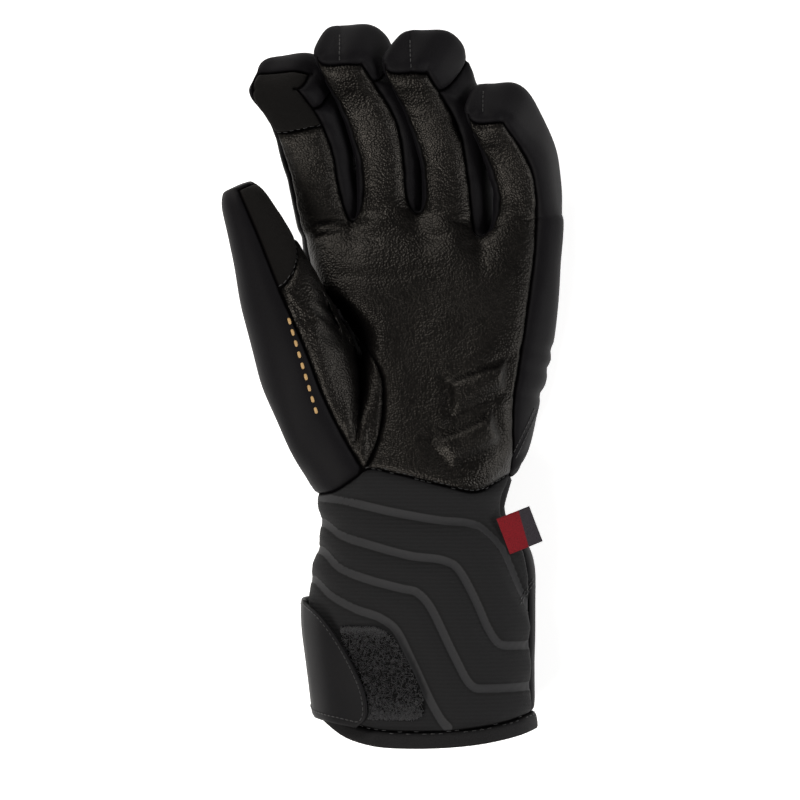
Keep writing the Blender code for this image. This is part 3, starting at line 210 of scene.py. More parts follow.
@dataclass
class GloveForm:
    """The glove's surface without its details, in its maker's own frame (wrist seam near Y 109 mm)."""

    finger_width: float = 0.0256
    finger_depth: float = 0.0245
    pitch: float = 0.0275
    palm_length: float = 0.1150
    palm_depth: float = 0.0450
    wrist_width: float = 0.0810
    wrist_depth: float = 0.0540
    cuff_length: float = 0.1087
    cuff_width: float = 0.0970
    cuff_depth: float = 0.0620
    hem_height: float = 0.0062
    thumb_length: float = 0.1140
    thumb_width: float = 0.0385
    thumb_depth: float = 0.0340
    thumb_fold: float = 0.34
    thumb_rounding: float = 0.40
    thumb_power: float = 2.3
    thumb_reach: float = 0.75
    tip_rounding: float = 0.27
    tip_skew: float = 0.30
    base_height: float = 0.70
    front_start: float = 0.25
    back_wrist: float = 0.045
    back_hem: float = 0.955
    thumb_crotch: float = 0.54
    thumb_base_along: float = 0.128

    # name: length, x at the stations (pitches), base share, pitch (degrees), widths and leans
    # (finger widths at base, middle and tip), angle of the right seam
    fingers: dict[str, tuple] = field(default_factory=lambda: {
        "index": (0.0722, (-1.00, -1.08, -1.19, -1.38, -1.72), 0.965, (5, 46),
                  (1.01, 1.04, 0.97), (0.12, 0.18, 0.22), 45.0),
        "middle": (0.0810, (-0.01, -0.01, -0.12, -0.40, -0.75), 1.005, (4, 46),
                   (0.93, 1.00, 0.85), (0.18, 0.20, 0.20), 45.0),
        "ring": (0.0780, (1.03, 1.01, 0.90, 0.66, 0.36), 1.005, (4, 46),
                 (0.95, 0.96, 0.83), (0.19, 0.26, 0.31), 45.0),
        "little": (0.0585, (2.14, 2.13, 2.02, 1.80, 1.53), 0.975, (6, 46),
                   (1.00, 0.98, 0.77), (0.18, 0.18, 0.18), 63.0),
    })  # fmt: skip
    palm_stations: tuple = (0.0, 0.125, 0.25, 0.375, 0.5, 0.625, 0.75, 0.875, 1.0)
    front_left: tuple = (-0.49, -0.27, -0.155, -0.15, -0.40, -0.80, -1.16, -1.33, -1.40)
    front_right: tuple = (1.66, 1.77, 1.83, 1.92, 1.99, 2.08, 2.16, 2.22, 2.25)
    back_left: tuple = (-0.80, -0.78, -0.78, -0.80, -0.86, -0.95, -1.05, -1.16, -1.26)
    back_right: tuple = (1.38, 1.60, 1.80, 1.95, 2.08, 2.18, 2.26, 2.32, 2.36)
    wrist_knots: tuple = (0.255, 0.515, 0.77)
    crotch_x: tuple = (-0.64, 0.375, 1.36)
    crotch_along: tuple = (0.998, 1.024, 0.935)
    top_ends: tuple = (0.925, 1.00)
    web_lean: tuple = (0.22, 0.29, 0.36)
    # along, x of the left and of the right edge (pitches)
    palm_edges: tuple = (
        (-0.06, -1.21, 1.735), (0.05, -1.22, 1.96), (0.11, -1.22, 2.08), (0.17, -1.22, 2.18),
        (0.28, -1.22, 2.27), (0.45, -1.22, 2.45), (0.67, -1.21, 2.58), (0.84, -1.37, 2.635),
        (0.95, -1.42, 2.665), (1.04, -1.48, 2.67),
    )  # fmt: skip
    # along, front and back height over the table (palm depths)
    palm_heights: tuple = (
        (-0.06, 1.16, 0.03), (0.10, 1.12, -0.02), (0.25, 1.08, -0.06), (0.50, 1.00, -0.07),
        (0.75, 0.92, -0.05), (0.92, 0.77, 0.00), (1.04, 0.68, 0.05),
    )  # fmt: skip
    # share down, half width and depth from wrist (0) to hem (1), centre x, height of the back
    cuff_shape: tuple = (
        (-0.08, 0.02, 0.26, 0.00, 0.020), (0.06, 0.00, 0.26, 0.00, 0.015),
        (0.12, -0.16, 0.30, 0.10, 0.000), (0.18, 0.20, 0.38, 0.25, -0.010),
        (0.24, 0.57, 0.48, 0.40, -0.020), (0.36, 0.97, 0.465, 0.65, -0.025),
        (0.50, 0.99, 0.45, 0.85, -0.025), (0.80, 0.77, 0.515, 1.00, -0.025),
        (1.02, 0.60, 0.550, 1.00, -0.025),
    )  # fmt: skip
    seam_in: tuple = ((-0.05, 0.985), (0.10, 0.955), (0.25, 0.93), (0.5, 0.955), (1.0, 0.972))
    wrist_line: tuple = (
        (0.0, 0.045), (0.08, 0.044), (0.15, 0.017), (0.25, -0.070), (0.39, -0.049),
        (0.54, -0.022), (0.69, 0.006), (0.85, 0.030), (0.93, 0.008), (1.0, -0.040),
    )  # fmt: skip
    # bands pressed into the cuff: share across from the left edge, share down
    bands: tuple = (
        ((-0.1, 0.050), (0.0, 0.052), (0.16, 0.062), (0.43, 0.105), (0.67, 0.135), (0.83, 0.150),
         (0.88, 0.185), (0.93, 0.345), (1.0, 0.490)),
        ((-0.2, 0.150), (0.0, 0.150), (0.11, 0.194), (0.27, 0.233), (0.46, 0.271), (0.62, 0.291),
         (0.67, 0.316), (0.76, 0.460), (0.80, 0.545), (0.84, 0.603), (0.88, 0.620), (1.0, 0.624)),
        ((-0.2, 0.255), (0.0, 0.255), (0.13, 0.321), (0.27, 0.363), (0.42, 0.396), (0.49, 0.412),
         (0.55, 0.470), (0.65, 0.665), (0.70, 0.755), (0.75, 0.783), (1.0, 0.785)),
        ((-0.2, 0.371), (0.0, 0.371), (0.09, 0.425), (0.21, 0.476), (0.34, 0.517), (0.40, 0.565),
         (0.46, 0.690), (0.52, 0.820), (0.57, 0.900), (0.60, 0.930)),
    )  # fmt: skip
    hem_line: tuple = (
        (0.0, 0.895), (0.05, 0.920), (0.10, 0.962), (0.16, 0.990), (0.44, 1.012), (0.72, 1.000),
        (0.92, 0.972), (1.0, 0.955),
    )  # fmt: skip
    # share of the length, x (pitches), height (depths), half width and half depth
    thumb_line: tuple = (
        (0.00, -1.00, 0.90, 0.57, 0.50), (0.20, -1.24, 1.12, 0.51, 0.51),
        (0.36, -1.41, 1.24, 0.505, 0.50), (0.60, -1.76, 1.34, 0.435, 0.45),
        (0.80, -2.06, 1.40, 0.32, 0.38), (1.00, -2.43, 1.44, 0.215, 0.31),
    )  # fmt: skip

    def palm_y(self, along: Array) -> Array:
        """Y of a share along the palm."""
        return self.cuff_length + self.palm_length * along

    def section(self, y: Array) -> tuple[Array, Array, Array, Array]:
        """Left edge, right edge, back height and front height of the ring at y.

        The palm's outline tables above the wrist and the cuff's below it, blended across the
        wrist seam by an ease curve.
        """
        along = (y - self.cuff_length) / self.palm_length
        wrist = 1 - ease((along + 0.06) / 0.22)
        middle = column(self.cuff_shape, 2, 0.0) * self.pitch
        left = column(self.palm_edges, 1, along) * self.pitch
        right = column(self.palm_edges, 2, along) * self.pitch
        left = left * (1 - wrist) + (middle - self.wrist_width / 2) * wrist
        right = right + wrist * (middle + self.wrist_width / 2 - self.palm_edges[0][2] * self.pitch)
        front = column(self.palm_heights, 1, along) * self.palm_depth
        front = front * (1 - wrist) + self.wrist_depth * wrist
        back = column(self.palm_heights, 2, along) * self.palm_depth
        back = back * (1 - wrist) + column(self.cuff_shape, 4, 0.0) * self.cuff_depth * wrist
        down = (self.cuff_length - y) / self.cuff_length
        half = column(self.cuff_shape, 1, down) * (self.cuff_width - self.wrist_width)
        half = (self.wrist_width + half) / 2
        centre = column(self.cuff_shape, 2, down) * self.pitch
        deep = column(self.cuff_shape, 3, down) * (self.cuff_depth - self.wrist_depth)
        cuff = (centre - half, centre + half, column(self.cuff_shape, 4, down) * self.cuff_depth,
                self.wrist_depth + deep)  # fmt: skip
        here = ease((y - self.cuff_length * 0.93) / (self.cuff_length * 0.16))
        palm = (left, right, back, front)
        return tuple(p * here + c * (1 - here) for p, c in zip(palm, cuff))

    def ring_power(self, y: Array) -> Array:
        """Exponent of the ring's superellipse: rounder at the cuff, fuller at the palm."""
        return 2.35 + 0.35 * ease((y - self.cuff_length) / (0.3 * self.palm_length))

    def ring_point(self, angle: Array, y: Array) -> Array:
        """Superellipse point of the ring at y, pressed flat on the table; 90 degrees is the palm."""
        left, right, back, front = self.section(y)
        n = self.ring_power(y)
        x = (left + right) / 2 + (right - left) / 2 * power(np.cos(angle), 2 / n)
        z = (front + back) / 2 + (front - back) / 2 * power(np.sin(angle), 2 / n)
        return np.stack([x, y + 0 * x, np.maximum(z, 0.0)], -1)

    def ring_angle(self, x: Array, y: Array) -> Array:
        """Angle of the front point of the ring whose place across is x."""
        left, right, _, _ = self.section(y)
        share = np.clip((x - (left + right) / 2) / ((right - left) / 2), -0.999, 0.999)
        return np.arccos(power(share, self.ring_power(y) / 2))

    def palm_relief(self, x: Array, y: Array) -> Array:
        """Hollow of the palm, mound of its heel and crease under the fingers, as bell curves."""
        along, across = (y - self.cuff_length) / self.palm_length, x / self.pitch
        hollow = bell(along - 0.60, 0.22) * bell(across - 0.3, 0.9)
        heel = bell(along - 0.26, 0.20) * bell(across - 1.4, 0.55)
        return 0.0010 * heel - 0.0035 * hollow - 0.0009 * bell(along - 0.93 - 0.02 * across, 0.022)

    def scallop(self, knot: Array, along: Array) -> Array:
        """How deep the palm dips at a finger crotch: a bell round each whole knot."""
        depth = sum(bell(knot - k, 0.20) for k in (1, 2, 3))
        return 0.17 * self.finger_depth * depth * ease((along - 0.80) / 0.20)

    def wrist_down(self, across: Array) -> Array:
        """Share down of the wrist seam at a share across the front."""
        return smooth_line(*zip(*self.wrist_line), across)

    def cuff_seam_x(self, y: Array) -> Array:
        """Place across of the seam between the cuff's front and back, on the right."""
        left, right, _, _ = self.section(y)
        share = column(self.seam_in, 1, (self.cuff_length - y) / self.cuff_length)
        return (left + right) / 2 + (right - left) / 2 * share

    def cuff_front_x(self, across: Array, y: Array) -> Array:
        """Place across of a share of the cuff's front (0 left outline, 1 right seam)."""
        left = self.section(y)[0]
        return left + (self.cuff_seam_x(y) - left) * across

    def cuff_back_x(self, y: Array, knot: Array) -> Array:
        """Place across of the back's columns, from the thumb side to the right seam."""
        left, right, _, _ = self.section(y)
        return left + (0.17 + 0.69 * knot / 4) * (right - left)

    def cuff_front_point(self, across: Array, y: Array) -> Array:
        """Point of the cuff's front; shares below 0 run round the left side to the back."""
        x = self.cuff_front_x(np.clip(across, 0, 1), y)
        edge = self.ring_angle(self.cuff_front_x(0.02, y), y)
        beyond = edge + (0.02 - across) * 2.6
        return self.ring_point(np.where(across >= 0.02, self.ring_angle(x, y), beyond), y)

    def across_of_left(self, share: Array) -> Array:
        """Share across the front for the left side, from the palm's seam round to the back."""
        return self.front_start * np.clip(1 - share / 0.55, 0, 1) ** 1.6

    def fan(self, knot: Array, along: Array, low: Array, edges: tuple,
            crotches: Sequence[float]) -> tuple[Array, Array]:
        """Places across of columns that fan out from the wrist to the finger crotches.

        Args:
            knot: place across, 0 to 4 from the thumb side.
            along: share from the wrist to the crotches.
            low: share across at the wrist.
            edges: places of the left and of the right edge at the palm's stations (pitches).
            crotches: places of the three crotches (pitches).
        Returns:
            Places at along and at the wrist.
        """
        left, right = (smooth_line(self.palm_stations, edge, along) for edge in edges)
        top = np.array([edges[0][-1], *crotches, edges[1][-1]])
        top = np.interp(knot, KNOTS, (top - top[0]) / (top[-1] - top[0]))
        share = low * (1 - along) + top * along
        start = edges[0][0] + (edges[1][0] - edges[0][0]) * low
        return (left + (right - left) * share) * self.pitch, start * self.pitch

    def palm_front(self, knot: Array, along: Array) -> Array:
        """Point of the palm; knot runs 0 to 4 from the thumb side to the little finger side.

        Rows run from the wrist seam to the line of the finger crotches; each place across is
        lifted onto the ring and gets the palm's relief.
        """
        knot, along = np.broadcast_arrays(np.asarray(knot, float), np.asarray(along, float))
        low = np.interp(knot, KNOTS, (0.0, *self.wrist_knots, 1.0))
        x, plain = self.fan(knot, along, low, (self.front_left, self.front_right), self.crotch_x)
        across = self.front_start + (1 - self.front_start) * low
        low_y = self.cuff_length * (1 - self.wrist_down(across))
        x = x + (self.cuff_front_x(across, low_y) - plain) * (1 - ease(along / 0.3))
        ends = (self.top_ends[0], *self.crotch_along, self.top_ends[1])
        y = low_y * (1 - along) + self.palm_y(np.interp(knot, KNOTS, ends)) * along
        point = self.ring_point(self.ring_angle(x, y), y)
        inside = np.sin(np.pi * np.clip(knot / 4, 0, 1)) ** 0.5 * ease(along / 0.1)
        point[..., 2] += self.palm_relief(x, y) * inside - self.scallop(knot, along)
        return point

    def palm_back(self, knot: Array, along: Array) -> Array:
        """Point of the back of the hand; knot 0 is the thumb side."""
        knot, along = np.broadcast_arrays(np.asarray(knot, float), np.asarray(along, float))
        crotches = np.add(self.crotch_x, self.web_lean)
        x, plain = self.fan(knot, along, knot / 4, (self.back_left, self.back_right), crotches)
        low_y = self.cuff_length * (1 - self.back_wrist)
        x = x + (self.cuff_back_x(low_y, knot) - plain) * (1 - ease(along / 0.3))
        ends = (0.96, *self.crotch_along, 1.0)
        y = low_y * (1 - along) + self.palm_y(np.interp(knot, KNOTS, ends)) * along
        point = self.ring_point(-self.ring_angle(x, y), y)
        point[..., 2] += self.scallop(knot, along)
        return point

    def palm_side(self, share: Array, along: Array, right: bool) -> Array:
        """Ring arc from the front seam point (share 0) to the back seam point (share 1)."""
        share, along = np.broadcast_arrays(np.asarray(share, float), np.asarray(along, float))
        knot = 4.0 if right else 0.0
        front, back = self.palm_front(knot, along), self.palm_back(knot, along)
        first = self.ring_angle(front[..., 0], front[..., 1])
        last = -self.ring_angle(back[..., 0], back[..., 1])
        plain = [self.ring_point(first, front[..., 1]), self.ring_point(last, back[..., 1])]
        last = last if right else last + 2 * np.pi
        turn = ease(share) if right else share
        y = front[..., 1] * (1 - turn) + back[..., 1] * turn
        point = self.ring_point(first * (1 - share) + last * share, y)
        point = point + (front - plain[0]) * (1 - ease(share * 3))[..., None]
        return point + (back - plain[1]) * ease(share * 3 - 2)[..., None]

    def web(self, knot: int, share: Array) -> Array:
        """Line of a finger crotch from the palm side to the back, bowed toward the wrist."""
        share = np.asarray(share, float)[..., None]
        front, back = self.palm_front(float(knot), 1.0), self.palm_back(float(knot), 1.0)
        point = front * (1 - share) + back * share
        point[..., 1] -= 0.10 * self.finger_depth * np.sin(np.pi * share[..., 0])
        return point

    def line_frame(self, line: Array, fine: Array, at: Array) -> tuple[Array, Array]:
        """Place and direction at share `at` of a centre line given at the shares `fine`."""
        read = lambda v: np.stack([np.interp(at, fine, v[:, i]) for i in range(3)], -1)
        return read(line), unit(read(np.gradient(line, axis=0)))

    def finger_frame(self, name: str, at: Array) -> tuple[Array, Array, Array, Array]:
        """Centre, direction, side vector and palm-side normal of a finger at share `at`.

        The centre line is the running sum of steps whose pitch grows toward the tip.
        """
        length, xs, base, (low, high) = self.fingers[name][:4]
        fine = np.linspace(-0.2, 1, 241)
        pitch = np.radians(low + (high - low) * np.maximum(fine, 0) ** 1.25)
        step = length * (fine[1] - fine[0])

        def grow(values: Array) -> Array:
            """Running sum of the values along the line, zero at the finger's base."""
            run = np.concatenate([[0], np.cumsum((values[1:] + values[:-1]) / 2)]) * step
            return run - np.interp(0.0, fine, run)

        x = smooth_line(QUARTERS, xs, fine) * self.pitch
        y = self.palm_y(base) + grow(np.cos(pitch))
        z = self.base_height * self.finger_depth + grow(np.sin(pitch))
        centre, along = self.line_frame(np.stack([x, y, z], -1), fine, at)
        side = unit(np.array([1.0, 0, 0]) - along[..., :1] * along)
        return centre, along, side, np.cross(side, along)

    def finger_point(self, name: str, angle: Array, at: Array, rim: Array) -> Array:
        """Superellipse tube round a finger's line; rim runs over its boxy rounded end."""
        angle, at, rim = np.broadcast_arrays(angle, at, rim)
        length, widths, leans = (self.fingers[name][i] for i in (0, 4, 5))
        end = self.tip_rounding * self.finger_depth
        ball = 1 + 0.03 * bell(at - 0.55, 0.16) - 0.035 * bell(at - 0.36, 0.07)
        shrink = np.cos(rim) ** 0.28
        skew = self.tip_skew * self.finger_width * ease((at - 0.55) / 0.45) * shrink
        advance = end * np.sin(rim) ** 0.9 - skew * np.cos(angle)
        centre, along, side, normal = self.finger_frame(name, at * (1 - end / length))
        width = smooth_line(HALVES, widths, at) * self.finger_width * shrink * ball
        depth = self.finger_depth * shrink * ball
        shear = smooth_line(HALVES, leans, at) * self.finger_width * shrink
        square = 3.0 + 0.8 * ease((at - 0.6) / 0.4)
        cx, cz = power(np.cos(angle), 2 / square), power(np.sin(angle), 2 / square)
        return (centre + side * (width / 2 * cx - shear * cz)[..., None]
                + normal * (depth / 2 * cz)[..., None] + along * advance[..., None])  # fmt: skip

    def finger_base(self, index: int, side: str, share: Array) -> Array:
        """Point of the loop on the palm that a finger grows from."""
        if side == "front":
            return self.palm_front(index + share, 1.0)
        if side == "right":
            return self.palm_side(share, 1.0, True) if index == 3 else self.web(index + 1, share)
        if side == "back":
            return self.palm_back(index + 1 - share, 1.0)
        return self.palm_side(1 - share, 1.0, False) if index == 0 else self.web(index, 1 - share)

    def finger_side(self, index: int, side: str, share: Array, at: Array, rim: Array) -> Array:
        """Point of one side of a finger, leaving its base loop for the tube by a power curve."""
        name = list(self.fingers)[index]
        share, at, rim = np.broadcast_arrays(share, at, rim)
        turn = self.fingers[name][6]
        first, last = {"front": (135, turn), "right": (turn, -45), "back": (-45, -135),
                       "left": (-135, -225)}[side]  # fmt: skip
        angle = np.radians(first + (last - first) * share)
        base = self.finger_base(index, side, share)
        start = (base[..., 1] - self.palm_y(self.fingers[name][2])) / self.fingers[name][0]
        tube = self.finger_point(name, angle, start + (1 - start) * at, rim)
        leave = (1 - (1 - np.clip(at / 0.26, 0, 1)) ** 2.4)[..., None]
        return base * (1 - leave) + tube * leave

    def left_down(self, share: Array, front_down: Array, back_down: Array) -> Array:
        """Share down of a line on the left side, from the back (0) to the front (1)."""
        toward_back = ease((1 - share - 0.55) / 0.45)
        return front_down * (1 - toward_back) + back_down * toward_back

    def wrist_left(self, share: Array) -> Array:
        """Wrist seam on the left side, from the back (0) to the palm's seam (1)."""
        across = self.across_of_left(1 - share)
        down = self.left_down(share, self.wrist_down(across), self.back_wrist)
        front_y = self.cuff_length * (1 - self.wrist_down(self.front_start))
        front = self.cuff_front_point(np.array(self.front_start), front_y)
        back = self.palm_back(0.0, 0.0)
        first = self.ring_angle(front[..., 0], front[..., 1])
        last = 2 * np.pi - self.ring_angle(back[..., 0], back[..., 1])
        return self.ring_point(last + (first - last) * share, self.cuff_length * (1 - down))

    def thumb_point(self, side: str, share: Array, at: Array, rim: Array) -> Array:
        """Point of the thumb's tube, blended from its loop on the palm, wrist and back.

        Args:
            side: leather, inner, back or outer quarter.
            share: place across that quarter.
            at: share of the way from the base loop to the last full ring.
            rim: angle over the rounded end.
        """
        share, at, rim = np.broadcast_arrays(share, at, rim)
        base, start, turn = {
            "leather": lambda: (self.palm_front(0.0, self.thumb_reach * share), share**1.2, 90.0),
            "inner": lambda: (self.palm_side(share, self.thumb_reach, False), 1 + 0 * share, 0.0),
            "back": lambda: (self.palm_back(0.0, self.thumb_reach * (1 - share)), (1 - share) ** 1.2, -90.0),
            "outer": lambda: (self.wrist_left(share), 0 * share, -180.0),
        }[side]()
        start = self.thumb_crotch * start
        place = start + (1 - start) * at
        end = self.thumb_rounding * self.thumb_depth
        tube_at = place * (1 - end / self.thumb_length)
        angle = np.radians(turn - 90.0 * share - 22.0 * (1 - place) ** 2)
        shrink = np.cos(rim) ** 0.75
        fine = np.linspace(0, 1, 241)
        line = np.stack([column(self.thumb_line, 1, fine) * self.pitch,
                         self.palm_y(self.thumb_base_along) + fine * self.thumb_length,
                         column(self.thumb_line, 2, fine) * self.thumb_depth], -1)  # fmt: skip
        centre, along = self.line_frame(line, fine, tube_at)
        up = unit(np.array([0, 0, 1.0]) - along[..., 2:] * along)
        cx, cz = (power(wave, 2 / self.thumb_power) for wave in (np.cos(angle), np.sin(angle)))
        width = column(self.thumb_line, 3, tube_at) * self.thumb_width * shrink
        depth = column(self.thumb_line, 4, tube_at) * self.thumb_depth * shrink
        tube = (centre + np.cross(along, up) * (width * cx)[..., None]
                + up * (depth * cz)[..., None] + along * (end * np.sin(rim) ** 0.9)[..., None])
        leave = 1 - (1 - np.clip(at / 0.34, 0, 1)) ** 2
        if side == "outer":
            sooner = 1 - (1 - np.clip(at / 0.15, 0, 1)) ** 3
            leave = leave + (sooner - leave) * np.sin(np.pi * share)
        point = base * (1 - leave)[..., None] + tube * leave[..., None]
        if side == "leather":
            near = np.sin(np.pi * share**2.2)
            dip = 4 * leave * (1 - leave) * np.sin(np.pi * np.clip(at / 0.30, 0, 1)) ** 0.5
            point[..., 2] -= self.thumb_fold * self.thumb_depth * near * dip**1.5
        return point

    def cuff_y(self, top: Array, hem: Array, row: Array) -> Array:
        """Y of a row of the cuff.

        Args:
            top: share down of the wrist seam there.
            hem: share down of the hem's edge there.
            row: 0 at the wrist seam, 1 at the hem's seam, 2 at the hem's edge.
        """
        hem_share = self.hem_height / self.cuff_length
        down = top + (hem - hem_share - top) * np.clip(row, 0, 1)
        return self.cuff_length * (1 - down - hem_share * np.clip(row - 1, 0, 1))

    def cuff_side(self, part: str, share: Array, row: Array) -> Array:
        """Point of the cuff.

        Args:
            part: left, front, right or back.
            share: place across that part.
            row: 0 at the wrist seam, 1 at the hem's seam, up to 2 at the hem's edge.
        """
        share, row = np.broadcast_arrays(share, row)
        low = np.interp(share * 4, KNOTS, (0.0, *self.wrist_knots, 1.0))
        front_across = self.front_start + (1 - self.front_start) * low
        across = {"left": self.across_of_left(1 - share), "front": front_across,
                  "right": 1.0 + 0 * share, "back": 1.0 + 0 * share}[part]  # fmt: skip
        toward = {"left": ease((0.45 - share) / 0.45), "front": 0 * share, "right": ease(share),
                  "back": 1 + 0 * share}[part]  # fmt: skip
        top = self.wrist_down(across) * (1 - toward) + self.back_wrist * toward
        hem = smooth_line(*zip(*self.hem_line), across) * (1 - toward) + self.back_hem * toward
        y = self.cuff_y(top, hem, row)
        if part == "front":
            return self.cuff_front_point(across, y)
        if part == "back":
            return self.ring_point(-self.ring_angle(self.cuff_back_x(y, 4 * (1 - share)), y), y)
        knot = 0.0 if part == "left" else 4.0
        back_y = self.cuff_y(self.back_wrist, self.back_hem, row)
        last = self.ring_angle(self.cuff_back_x(back_y, knot), back_y)
        seam = np.array(self.front_start if part == "left" else 1.0)
        front_y = self.cuff_y(self.wrist_down(seam), smooth_line(*zip(*self.hem_line), seam), row)
        first = self.ring_angle(self.cuff_front_x(seam, front_y), front_y)
        if part == "left":
            turned = 2 * np.pi - last
            return self.ring_point(turned + (first - turned) * share, y)
        return self.ring_point(first + (-last - first) * share, y)


class Cage:
    """Quads of the whole glove, each with its panel."""

    def __init__(self, form: GloveForm) -> None:
        """Lays the patches of palm, back, fingers, thumb and cuff."""
        self.form = form
        self.points: list[Array] = []
        self.quads: list[Array] = []
        self.panels: list[Array] = []
        self.count = 0
        self.across, self.sides, self.rows = 5, 6, 16
        self.cap_bulge, self.thumb_patch_row, self.hem_row = 0.06, 12, 20
        self._palm()
        for index in range(4):
            self._finger(index)
        self._thumb()
        self._cuff()

    def _patch(self, grid: Array, panel: Any, flip: bool = False) -> None:
        """Adds a grid of points.

        Args:
            grid: points [row, column, xyz].
            panel: one panel, or a function of arrays of row and column that gives their numbers.
            flip: turns the faces round.
        """
        rows, columns = grid.shape[:2]
        r, c = np.mgrid[: rows - 1, : columns - 1]
        quad = self.count + grid_quads(rows, columns)
        self.points.append(grid.reshape(-1, 3))
        self.quads.append(quad[:, ::-1] if flip else quad)
        numbers = panel(r, c) if callable(panel) else panel.number + 0 * r
        self.panels.append(np.broadcast_to(numbers, r.shape).reshape(-1))
        self.count += rows * columns

    def _palm(self) -> None:
        """Palm, both edges and the back of the hand."""
        form, n = self.form, 4 * self.across
        side = np.linspace(0, 1, self.sides + 1)[None]
        rows = np.linspace(0, 1, self.rows + 1)[:, None]
        free = rows[self.rows * 3 // 4 :]
        self._patch(form.palm_front(np.linspace(0, 4, n + 1)[None], rows), Panel.PALM)
        self._patch(form.palm_side(side, rows, True), Panel.BACK)
        self._patch(form.palm_back(np.linspace(4, 0, n + 1)[None], rows), Panel.BACK)
        self._patch(form.palm_side(1 - side, free, False), Panel.BACK)

    def _cap(self, edges: dict[str, Array], names: Sequence[str]) -> Array:
        """Coons patch over a tube's open end: the ruled surfaces both ways less the corners'."""
        front, right, back, left = (edges[name] for name in names)
        u = np.linspace(0, 1, len(front))[None, :, None]
        v = np.linspace(0, 1, len(right))[:, None, None]
        low, west = back[::-1], left[::-1]
        corners = (front[0] * (1 - u) * (1 - v) + front[-1] * u * (1 - v)
                   + low[0] * (1 - u) * v + low[-1] * u * v)  # fmt: skip
        return front[None] * (1 - v) + low[None] * v + west[:, None] * (1 - u) + right[:, None] * u - corners

    def _finger(self, index: int) -> None:
        """Four sides and the end of one finger."""
        form = self.form
        at = np.array([0, 0.04, 0.09, 0.15, 0.21, 0.28, 0.36, 0.44, 0.52, 0.6, 0.68, 0.76, 0.84,
                       0.92, 1, 1, 1])[:, None]  # fmt: skip
        rim = np.radians([0.0] * 15 + [38.0, 64.0])[:, None]
        last = 14  # row of the last full ring
        strips = (Panel.STRIP_INDEX, Panel.STRIP_MIDDLE, Panel.STRIP_RING)
        choose = lambda here, there: lambda r, c: np.where(here(r), there[0].number, there[1].number)
        edges = {}
        for side in ("front", "right", "back", "left"):
            count = self.across if side in ("front", "back") else self.sides
            grid = form.finger_side(index, side, np.linspace(0, 1, count + 1)[None], at, rim)
            edges[side] = grid[-1]
            panel: Any = Panel.BACK
            if side == "front" and index == 0:
                panel = choose(lambda r: r < last - 3, (Panel.PALM, Panel.INDEX_PATCH))
            elif side == "front":
                panel = choose(lambda r: r < last + 1, (Panel.PALM, Panel.BACK))
            elif side == "right" and index < 3:
                panel = choose(lambda r: r < last - 1, (strips[index], Panel.BACK))
            elif side == "left" and index > 0:
                panel = choose(lambda r: r < last - 1, (strips[index - 1], Panel.BACK))
            self._patch(grid, panel)
        cap = self._cap(edges, ("front", "right", "back", "left"))
        along = form.finger_frame(list(form.fingers)[index], np.array(1.0))[1]
        v, u = np.mgrid[-1 : 1 : self.sides * 1j + 1j, -1 : 1 : self.across * 1j + 1j]
        cap = cap + along * (self.cap_bulge * form.finger_depth * (1 - u**2) * (1 - v**2))[..., None]
        keep = self.sides // 2 if index == 0 else 0
        self._patch(cap, choose(lambda r: r < keep, (Panel.INDEX_PATCH, Panel.BACK)))

    def _thumb(self) -> None:
        """Four quarters and the end of the thumb."""
        at = np.array([0, 0.03, 0.07, 0.11, 0.155, 0.205, 0.26, 0.32, 0.385, 0.455, 0.53, 0.61, 0.69,
                       0.77, 0.85, 0.925, 1, 1, 1])[:, None]  # fmt: skip
        rim = np.radians([0.0] * 17 + [34.0, 60.0])[:, None]
        long = self.rows * 3 // 4
        edges = {}
        for side, count in (("leather", long), ("inner", self.sides), ("back", long), ("outer", self.sides)):
            grid = self.form.thumb_point(side, np.linspace(0, 1, count + 1)[None], at, rim)
            edges[side] = grid[-1]
            tip = Panel.THUMB_PATCH if side == "leather" else Panel.THUMB_BACK
            low = Panel.THUMB_PALM if side in ("leather", "inner") else Panel.THUMB_BACK
            self._patch(grid, lambda r, c: np.where(r < self.thumb_patch_row, low.number, tip.number))
        self._patch(self._cap(edges, ("leather", "inner", "back", "outer")), Panel.THUMB_BACK)

    def _cuff(self) -> None:
        """Left, front, right and back of the gauntlet, with its hem."""
        rows = np.concatenate([np.linspace(0, 1, self.hem_row + 1), [1.33, 1.67, 2.0]])[:, None]
        for part, count, panel in (
            ("left", self.sides, Panel.CUFF_FRONT), ("front", 4 * self.across, Panel.CUFF_FRONT),
            ("right", self.sides, Panel.CUFF_BACK), ("back", 4 * self.across, Panel.CUFF_BACK),
        ):  # fmt: skip
            grid = self.form.cuff_side(part, np.linspace(0, 1, count + 1)[None], rows)
            self._patch(grid, lambda r, c: np.where(r < self.hem_row, panel.number, Panel.HEM.number), True)

